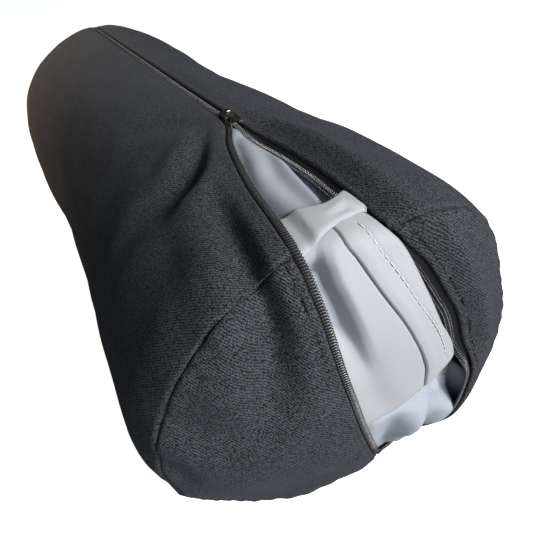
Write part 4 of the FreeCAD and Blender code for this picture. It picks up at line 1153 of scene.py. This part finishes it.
def skin_table():
    past, y = np.meshgrid(SKIN_PAST, SKIN_Y, indexing="ij")
    x = np.minimum(RIM_X + past, RIM_X - 3.0)
    radius = BODY_R + body_offset(x, math.pi / 2) - INSET
    top = body_xyz(x, np.arccos(np.clip(y / radius, -0.98, 0.98)), -INSET)
    z = np.maximum(rim_height(y) - np.maximum(past, 0), 4.0)
    end = cap_xyz(y, z, -INSET)
    radius, phi = polar(y, z)
    end[..., 0] -= 1.5 * smooth(0.9, 1.0, radius / rim_radius(phi))
    points = smooth_rows(np.where((past < 0)[..., None], top, end), 3.2)
    normal = normals(points)
    outward = points - np.array([150.0, 0, AXIS_Z])
    return points, np.where(((normal * outward).sum(-1) < 0)[..., None], -normal, normal)


SKIN_POINTS, SKIN_NORMALS = skin_table()


def lip_y(past, side):
    """Where the opening's edge lies across the pillow."""
    top = pchip(*TOP_EDGE[side], RIM_X + np.minimum(past, 0))
    lip = END_CURVE[side][::-1]
    return np.where(past < 0, top, np.interp(205.0 - past, lip[:, 1], lip[:, 0]))


def skin(past, y, height):
    """Point at a height above the liner's skin, and its normal; it dives under the lips."""
    height = (height - 15.0 * smooth(2.5, 11, lip_y(past, -1) - y)
              - 8.0 * smooth(6, 18, y - lip_y(past, 1)))
    row = np.clip((past - SKIN_PAST[0]) / PAST_STEP, 0, len(SKIN_PAST) - 1.001)
    column = np.clip((y - SKIN_Y[0]) / Y_STEP, 0, len(SKIN_Y) - 1.001)
    i, j = row.astype(int), column.astype(int)
    a, b = (row - i)[..., None], (column - j)[..., None]

    def pick(table):
        return ((1 - a) * (1 - b) * table[i, j] + a * (1 - b) * table[i + 1, j]
                + (1 - a) * b * table[i, j + 1] + a * b * table[i + 1, j + 1])
    normal = unit(pick(SKIN_NORMALS))
    return pick(SKIN_POINTS) + normal * height[..., None], normal


def to_past(points):
    """(past, y) of (x, y, z) points."""
    x, y, z = np.asarray(points, float).T
    past = np.where((x < 280.5) & (z > 200), x - RIM_X, rim_height(y) - z)
    return np.stack([past, y], -1)


def line_place(past, y, line):
    """Distance to a (past, y) polyline, share along it, side (positive where y is greater)."""
    line = np.asarray(line, float)
    best, where, sign = np.full(past.shape, 1e9), np.zeros(past.shape), np.ones(past.shape)
    arc = arc_length(line)
    for i in range(len(line) - 1):
        start, step = line[i], line[i + 1] - line[i]
        from_past, from_y = past - start[0], y - start[1]
        t = np.clip((from_past * step[0] + from_y * step[1]) / (step @ step), 0, 1)
        distance = np.hypot(from_past - t * step[0], from_y - t * step[1])
        near = distance < best
        best = np.where(near, distance, best)
        where = np.where(near, (arc[i] + t * (arc[i + 1] - arc[i])) / arc[-1], where)
        sign = np.where(near, np.sign(step[0] * from_y - step[1] * from_past), sign)
    return best, where, sign


def line_distance(past, y, line):
    return line_place(past, y, line)[0]


# Edge where the puffed cloth on top rolls down: past, then y.
PUFF_EDGE = ([-170, -135, -117, -80, -55, -39, -28, -21, 0],
             [2.0, 2.0, 2.7, 4.6, 1.5, -.4, -2.4, -4.4, -4.4])
# Ridge and valleys along the puffed cloth: (past, y) points, height, width.
TOP_FOLDS = [
    ([(-125, 2.0), (-117, 0.5), (-88, -6.2), (-60, -13.6), (-34, -16.1), (-22, -15.5)], 1.8, 5.5),
    ([(-112, 3.0), (-84, 0.5), (-60, -7.0), (-40, -8.5), (-24, -7.5)], -1.6, 4.5),
    ([(-110, -4.0), (-86, -13.0), (-62, -20.5), (-40, -24.0), (-24, -26.0)], -1.5, 4.5),
]
# Folds low on the near end, in the same form.
LOW_FOLDS = [
    ([(96, 46), (112, 42), (128, 30), (140, 20)], -5.0, 5.5),
    ([(92, 58), (108, 60), (124, 52), (142, 36)], 3.5, 6.0),
    ([(110, 14), (126, 12), (142, 14), (160, 18)], -4.0, 5.0),
    ([(104, 2), (122, -2), (142, 4)], 2.0, 6.0),
    ([(108, 27), (124, 24), (146, 24)], 3.2, 5.0),
    ([(120, 46), (136, 38), (156, 28)], -3.5, 4.5),
    ([(104, -8), (124, -12), (140, -8)], -2.5, 5.0),
]
LOW_BULGE = [(120, 30), (138, 24), (152, 19), (166, 17)]
# Left and right limits of the liner's skin in the opening: past, then y.
SKIN_LEFT = ([-170, -123, -99, -75, -49, -22, 0, 40, 60, 80, 100, 124, 147, 169, 190],
             [-20, -20, -30, -36, -40, -44, -46, -42, -39, -35, -30, -22, -13, -4, 4])
SKIN_RIGHT = ([-170, -123, -77, -30, 0, 33, 48, 64, 86, 112, 138, 162, 182, 192],
              [22, 24, 30, 32, 34, 52, 62, 70, 76, 77, 71, 58, 42, 31])
# Lines of the placket, as (past, y) from the top down: crease in the left flap, left edge of
# the lap, right edge of the lap, topstitching, and (from left to right) the bottom hem.
CREASE = [(-10.5, -18), (3, -20.0), (12.3, -19.2), (19.5, -17.2), (28.8, -14.8), (39.5, -12.0),
          (49.5, -9.4), (61.5, -6.0), (70, -3.0)]
LAP_LINE = np.array([
    (-12.0, -10.5), (-9.8, -9.2), (-1.5, -8.3), (4.5, -5.5), (13.5, -1.5), (22.5, 3.0),
    (33.0, 9.0), (47.2, 16.5), (63.8, 24.0), (75.8, 27.3), (84.8, 27.4), (90.5, 25.0)])
LAP_EDGE = np.array([
    (-17.5, 6.5), (-15.0, 8.5), (-10.5, 10.0), (-6.0, 11.3), (-3.0, 13.3), (0.0, 15.5),
    (5.2, 18.0), (12.0, 20.5), (20.2, 23.5), (27.8, 26.5), (46.5, 35.0), (64.4, 46.3),
    (73.2, 49.0)])
TOPSTITCH = to_past([
    (280.8, 0.2, 206.6), (287.3, 3.4, 197.3), (293.4, 9.9, 183.3), (298.3, 19.3, 164.3),
    (300.3, 29.5, 146.2), (300.6, 37.5, 128.2), (300.8, 40.5, 117)])
PLACKET_BOTTOM = to_past([
    (302, -30, 99), (302.4, -16, 97.5), (302.4, -7.8, 97.3), (302.8, 7, 96.6),
    (302.8, 17.5, 99.5), (302.3, 26.6, 103.5), (301.2, 34, 106), (300, 42, 108.5),
    (299.2, 49.4, 112)])


def skin_relief(past, y):
    """Height of the liner's cloth: soft puffs on top, the roll on the right, low folds."""
    top = smooth(-8, -26, past)
    puff_edge = pchip(*PUFF_EDGE, past)
    roll = smooth(puff_edge - 3, puff_edge + 15, y)
    height = -top * (26 * roll * smooth(-150, -118, past))
    for line, rise, width in TOP_FOLDS:
        height += top * rise * np.exp(-(line_distance(past, y, line) / width) ** 2)
    low = smooth(86, 104, past)
    for line, rise, width in LOW_FOLDS:
        distance, share, _ = line_place(past, y, line)
        fade = np.sin(np.pi * np.clip(share * 0.9 + 0.08, 0, 1)) ** 0.6
        height += low * rise * np.exp(-(distance / width) ** 2) * fade
    # the skin sinks under the placket
    height -= smooth(-12, 0, past) * np.maximum(
        10.0 * smooth(106, 92, past), 6.6 * smooth(48, 53, y) * smooth(117, 105, past))
    height += 4.0 * smooth(108, 120, past) * smooth(38, 50, y)
    height += 3.0 * top * smooth(-170, -150, past)
    bulge = line_distance(past, y, LOW_BULGE)
    height += low * 6.5 * np.exp(-(bulge / 17.0) ** 2) + 0.5 * low
    # the stuffed side swells up to the right lip
    wall = smooth(62, 66.5, y) * smooth(80, 90, past) * smooth(150, 130, past)
    return height * (1 - wall) + 8.0 * wall


def liner_patch():
    """The part of the liner's skin that shows in the opening."""
    stations = np.concatenate([np.arange(-165, -24, 1.8), np.arange(-24, 12, 1.2),
                               np.arange(12, 192, 1.8)])[:, None]
    share = np.linspace(0, 1, 84)[None, :]
    past = stations + 0 * share
    left, right = pchip(*SKIN_LEFT, stations), pchip(*SKIN_RIGHT, stations)
    y = left + (right - left) * share
    height = skin_relief(past, y) + 0.5 * waves_flat(past, y, 30, 11)
    points, normal = skin(past, y, height)
    # held under the placket, along the lips and at both ends
    hidden = smooth(-16, -4, past) * smooth(108, 92, past)
    border = 1 - (smooth(0, 8, lip_y(past, 1) + 14 - y)
                  * smooth(0, 6, y - lip_y(past, -1) + 5))
    ends = np.maximum(smooth(-118, -134, past), smooth(166, 184, past))
    hold = np.clip(np.maximum(np.maximum(hidden, border), ends), 0, 1)
    folds = settle(points, hold, grow=0.26, frames=36, cap=4.2)
    facing = np.sign((normals(points) * normal).sum(-1))
    points = points + normal * (folds * facing)[..., None]
    # the low part stays inside the cover
    radius, phi = polar(points[..., 1], points[..., 2])
    fit = np.minimum(1.0, (rim_radius(phi) - 7.0) / radius)
    scale = np.where(points[..., 2] < 95.0, fit, 1.0)
    points[..., 1] = points[..., 1] * scale
    points[..., 2] = np.maximum(AXIS_Z + (points[..., 2] - AXIS_Z) * scale, 7.0)
    return points, np.stack([past, y], -1)


def panel_grid(left, right, top, bottom, rows, columns):
    """(past, y) arrays between four curves; left and right run from top to bottom."""
    grid = coons(left, right, top, bottom, np.linspace(0, 1, columns), np.linspace(0, 1, rows))
    return grid[..., 0], grid[..., 1]


def placket_relief(past, y):
    """Crease of the left flap: the cloth right of it stands above the cloth left of it."""
    distance, share, side = line_place(past, y, CREASE)
    fade = smooth(0.97, 0.40, share)
    start = 0.10 + 0.90 * smooth(-7, 9, past)
    height = fade * start * pchip(
        [-26, -18, -12, -7, -3.4, -1.2, 0.6, 2.8, 6.5, 12, 20],
        [-1.5, -2.5, -5.4, -9.2, -11.0, -10.4, -6.6, -1.7, 0.9, 0.5, 0.0], distance * side)
    tail = line_distance(past, y, [(58, -9.4), (76, -4.0), (92, 4.0)])
    height -= 1.4 * np.exp(-(tail / 8.0) ** 2)
    return height + 0.35 * waves_flat(past, y, 34, 21)


def placket_left():
    """The left flap of the placket, with the long soft crease, down to its lower hem."""
    right = dense(LAP_LINE)
    hem = PLACKET_BOTTOM[PLACKET_BOTTOM[:, 1] < LAP_LINE[-1, 1] - 0.5]
    bottom = dense([(108, -25), *hem[1:], LAP_LINE[-1]])
    past, y = panel_grid(
        dense([(-12, -46), (30, -43), (60, -38), (80, -33), (100, -28), (108, -25)]), right,
        dense([(-12, -46), (-10, -28), LAP_LINE[0]]), bottom, rows=110, columns=70)
    height = LIFT + placket_relief(past, y)
    height -= 1.0 * rounded(line_distance(past, y, right[::4]), 1.4)
    height -= 2.6 * rounded(line_distance(past, y, bottom[::4]), 5.0)
    points, normal = skin(past, y, height)
    # turn the hem under
    under = [points[-1] - normal[-1] * 1.4,
             points[-1] - normal[-1] * 1.8 - (points[-1] - points[-6]) * 0.4]
    points = np.concatenate([points, np.stack(under)])
    past = np.concatenate([past, past[-1:] + 1, past[-1:] + 3])
    y = np.concatenate([y, y[-1:], y[-1:]])
    return points, np.stack([past, y], -1)


def placket_right():
    """The right flap, laid over the left one."""
    left, right = dense(LAP_LINE), dense(LAP_EDGE)
    hem = PLACKET_BOTTOM[PLACKET_BOTTOM[:, 1] > LAP_LINE[-1, 1] + 1.0]
    bottom = dense([LAP_LINE[-1], *hem])
    top = dense([LAP_LINE[0], (LAP_LINE[0] + LAP_EDGE[0]) / 2, LAP_EDGE[0]])
    past, y = panel_grid(left, right, top, bottom, rows=110, columns=46)
    from_left = line_distance(past, y, left[::4])
    seam = line_distance(past, y, TOPSTITCH)
    height = LAP_LIFT + 0.3 * waves_flat(past, y, 26, 31)
    height += 0.5 * np.exp(-((from_left - 4) / 3.0) ** 2) - 0.35 * np.exp(-(seam / 0.9) ** 2)
    height -= 1.5 * rounded(from_left, 1.1)
    height -= 2.6 * rounded(line_distance(past, y, right[::4]), 3.4)
    height -= 2.6 * rounded(line_distance(past, y, bottom[::4]), 4.0)
    points, normal = skin(past, y, height)
    # folded edges turn under on both sides
    first, last = points[:, 0], points[:, -1]
    first_normal, last_normal = normal[:, 0], normal[:, -1]
    columns = [first - first_normal * 1.5 + (points[:, 6] - first) * 0.7,
               first - first_normal * 1.2 + (points[:, 1] - first) * 0.2,
               last - last_normal * 1.3,
               last - last_normal * 2.2 + (points[:, -6] - last) * 0.9]
    points = np.concatenate([np.stack(columns[:2], 1), points, np.stack(columns[2:], 1)], 1)
    past = np.concatenate([past[:, :1]] * 2 + [past] + [past[:, -1:]] * 2, 1)
    y = np.concatenate([y[:, :1] + 3, y[:, :1] + 1, y, y[:, -1:] + 1, y[:, -1:] + 3], 1)
    return points, np.stack([past, y], -1)


def turned_band():
    """Cloth turned back across the top of the placket, with a rolled upper rim."""
    rows = 34
    top = dense([(-28, -48), (-27, -30), (-25.3, -20.5), (-23.2, -14.5), (-21.2, -6.5),
                 (-22.8, -1.0), (-26.0, 5.2), (-22.5, 6.4), (-18.0, 6.9), (-14.2, 8.0)])
    bottom = dense([(-1.5, -48), (-2.2, -32), (-3.0, -25), (-3.8, -21), (-5.0, -18.2),
                    (-6.8, -14), (-9, -9), (-12, -0.5), (-13.2, 4.0), (-13.9, 8.1)])
    past, y = panel_grid(dense([top[0], bottom[0]]),
                         dense([top[-1], (top[-1] + bottom[-1]) / 2, bottom[-1]]),
                         top, bottom, rows=rows, columns=90)
    down = np.linspace(0, 1, rows)[:, None]
    step = smooth(-21.5, -15.5, y)
    height = (LIFT + 2.4 + 1.2 * (1 - down) * (1 + 0.8 * smooth(-8, 4, y))
              + 0.35 * waves_flat(past, y, 22, 41))
    height += 0.5 * np.exp(-((down - 0.42) / 0.18) ** 2) * smooth(-14, -4, y)
    height -= 0.4 * np.exp(-((down - 0.72) / 0.14) ** 2) * smooth(-12, 0, y)
    # left of the step the band lies on the creased flap
    height = height * step + (LIFT + 1.1 + placket_relief(past, y)) * (1 - step)
    height -= 1.6 * rounded(line_distance(past, y, top[::3]), 1.6)
    height -= ((1.3 - 0.6 * (1 - step))
               * rounded(line_distance(past, y, bottom[::3]), 2.4))
    points, normal = skin(past, y, height)
    # both edges turn under, less so at the right end
    deep = (1 - 0.9 * smooth(0.80, 0.97, np.linspace(0, 1, points.shape[1])))[:, None]
    forward = unit(points[4] - points[0]) * deep
    backward = unit(points[-5] - points[-1])
    upper = [points[0] - normal[0] * sink * deep + forward * shift
             for sink, shift in ((7.0, 2.5), (4.0, 0.4), (1.6, -0.1))]
    lower = [points[-1] - normal[-1] * 0.9 * deep,
             points[-1] - normal[-1] * 1.3 * deep + backward * 1.5 * deep]
    points = np.concatenate([np.stack(upper), points, np.stack(lower)])
    past = np.concatenate([past[:1] - 7, past[:1] - 4, past[:1] - 1.6, past,
                           past[-1:] + 1, past[-1:] + 2])
    y = np.concatenate([y[:1]] * 3 + [y] + [y[-1:]] * 2)
    return points, np.stack([past, y], -1)


def liner_piece(name, made, *replaced, material=LINER):
    cloth_piece(name, *made, material, "liner_cloth", LINER_THICKNESS, (180, 0, 104), *replaced)


def make_topstitch():
    line = dense(TOPSTITCH, 200)
    points, normal = skin(line[:, 0], line[:, 1], LAP_LIFT - 0.05)
    points, arc = resample(points, 0.5)
    normal = along(normal, np.linspace(0, 1, len(points)))
    return stitch_row("liner_topstitching", points, normal, arc, 4.3, 0.31, PALE_THREAD)


def make_liner_body():
    """The rest of the stuffed insert, inside the cover."""
    phi = np.radians(np.arange(0, 360, 5.0))
    gap = 3.5
    shares = [1.0, 0.96, 0.88, 0.76, 0.62, 0.47, 0.32, 0.17, 0.05]

    def ring(x, y, z):
        return np.stack([x, y, floor_soft(z - gap) + gap], -1)

    def tube_ring(x):
        radius = BODY_R + body_offset(x, phi) - INSET - 4.0
        radius = radius - 5.0 * np.clip((np.abs(x) - 235) / 27.0, 0, 1) ** 2
        shifted = x + periodic(FAR_SHIFT, phi) * smooth(150, 285, -x) * 0.95
        return ring(shifted, radius * np.cos(phi), AXIS_Z + radius * np.sin(phi))

    def end_ring(side, share):
        radius = (rim_radius(phi, side) - INSET - 9.0) * share
        y, z = radius * np.cos(phi), AXIS_Z + radius * np.sin(phi)
        return ring(cap_xyz(y, z, -INSET - 5.0, side)[:, 0], y, z)

    rings = [end_ring(-1, share) for share in shares[::-1]]
    rings += [tube_ring(x) for x in np.linspace(-262, 262, 60)]
    rings += [end_ring(1, share) for share in shares]
    return capped_tube("liner_body", np.stack(rings), LINER_PAINTED_SHADE)


# the skin in the opening, like the hidden liner body, wears the liner satin with painted shade
liner_piece("liner_skin", liner_patch(), "liner_near_end_panel", material=LINER_PAINTED_SHADE)
liner_piece("liner_placket_left", placket_left(), "liner_placket_underlap")
liner_piece("liner_placket_right", placket_right(), "liner_placket_lap")
liner_piece("liner_turned_band", turned_band())
done(make_topstitch(), "pale_thread", "liner_lap_topstitching")
done(make_liner_body(), "liner_cloth",
     "liner_tube_panel", "liner_far_end_panel", "fibre_fill", "liner_near_rim_seam_thread",
     "liner_far_rim_seam_thread", "liner_zip_tape_left", "liner_zip_tape_right",
     "liner_zip_coil_left", "liner_zip_coil_right")

# ------------------------------------------------------- small hard pieces

for node, material in (("zip_slider", METAL), ("zip_pull_tab", METAL),
                       ("liner_zip_slider", LINER_METAL), ("liner_zip_pull_tab", LINER_METAL)):
    slots = frame["nodes"][node].data.materials
    slots.clear()
    slots.append(material)

# ------------------------------------------------- floor, light and camera


def floor_material():
    """White to the camera, mid grey to the light that bounces off it."""
    g = Surface("studio_floor")
    grain = g.noise(g.coordinates(), 3.0, detail=3.0)
    seen = g.add("LightPath").outputs["Is Camera Ray"]
    white = g.mix(grain, (0.90, 0.90, 0.90, 1), (0.94, 0.94, 0.94, 1))
    return g.shade({
        "Base Color": g.mix(seen, (0.16, 0.16, 0.16, 1), white),
        "Roughness": 0.9,
        "Emission Color": (1.0, 1.0, 1.0, 1),
        "Emission Strength": g.math("MULTIPLY", seen, 0.86)})


def make_world():
    """White behind the pillow, a faint cool fill on it."""
    world = bpy.data.worlds.new("studio")
    bpy.context.scene.world = world
    world.use_nodes = True
    g = Graph(world.node_tree)
    seen = g.add("LightPath").outputs["Is Camera Ray"]
    g.fill(g.tree.nodes["Background"], {
        "Strength": g.ramp(seen, 0.0, 1.0, 0.09, 0.90),
        "Color": g.mix(seen, (0.86, 0.93, 1.0, 1), (1.0, 1.0, 1.0, 1))})


def add_light(name, kind, place, target, power, color):
    light = bpy.data.lights.new(name, kind)
    light.energy = power
    light.color = color
    ob = bpy.data.objects.new(name, light)
    bpy.context.scene.collection.objects.link(ob)
    ob.location = place
    ob.rotation_euler = (Vector(target) - ob.location).to_track_quat("-Z", "Y").to_euler()
    return light


def add_disk(name, place, size, power, color):
    light = add_light(name, "AREA", place, (0.2, 0, 0.1), power, color)
    light.shape = "DISK"
    light.size = size


def add_camera():
    data = bpy.data.cameras.new("camera")
    camera = bpy.data.objects.new("camera", data)
    bpy.context.scene.collection.objects.link(camera)
    data.sensor_width = 36.0
    data.lens = 32.4101313
    data.clip_start = 0.01
    right = Vector((0.46219623, 0.88044642, -0.10577686))
    up = Vector((-0.50051794, 0.35747755, 0.78847422))
    forward = Vector((-0.73202216, 0.31148659, -0.60590401))
    matrix = Matrix((right, up, -forward)).transposed().to_4x4()
    matrix.translation = Vector((0.41390, -0.09800, 0.31110))
    camera.matrix_world = matrix
    bpy.context.scene.camera = camera


floor_surface = floor_material()
bpy.ops.mesh.primitive_plane_add(size=12.0, location=(0, 0, 0))
floor = bpy.context.object
floor.name = "studio_floor"
floor.data.materials.append(floor_surface)
make_world()
add_disk("key", place=(1.45, 0.66, 1.08), size=0.6, power=35.0, color=(1.0, 0.985, 0.96))
add_disk("front", place=(1.6, 0.05, 0.62), size=0.8, power=10.0, color=(0.88, 0.94, 1.0))
warm = add_light("warm_back", "SPOT", place=(-0.9, -1.1, 0.55), target=(-0.33, -0.10, 0.12),
                 power=120.0, color=(1.0, 0.72, 0.44))
warm.spot_size = math.radians(25)
warm.spot_blend = 1.0
warm.shadow_soft_size = 0.2
add_camera()
bpy.context.scene.view_settings.view_transform = "Standard"

# point the faces of the closed meshes outwards
CLOSED_ENDINGS = ("stitches", "stitching", "_teeth", "_woven", "_tack", "_crimp")
for ob in list(bpy.data.objects):
    if ob.type == "MESH" and (ob.name == "liner_body" or ob.name.endswith(CLOSED_ENDINGS)
                              or "_stitching_" in ob.name):
        bm = bmesh.new()
        bm.from_mesh(ob.data)
        bmesh.ops.recalc_face_normals(bm, faces=bm.faces[:])
        bm.to_mesh(ob.data)
        bm.free()
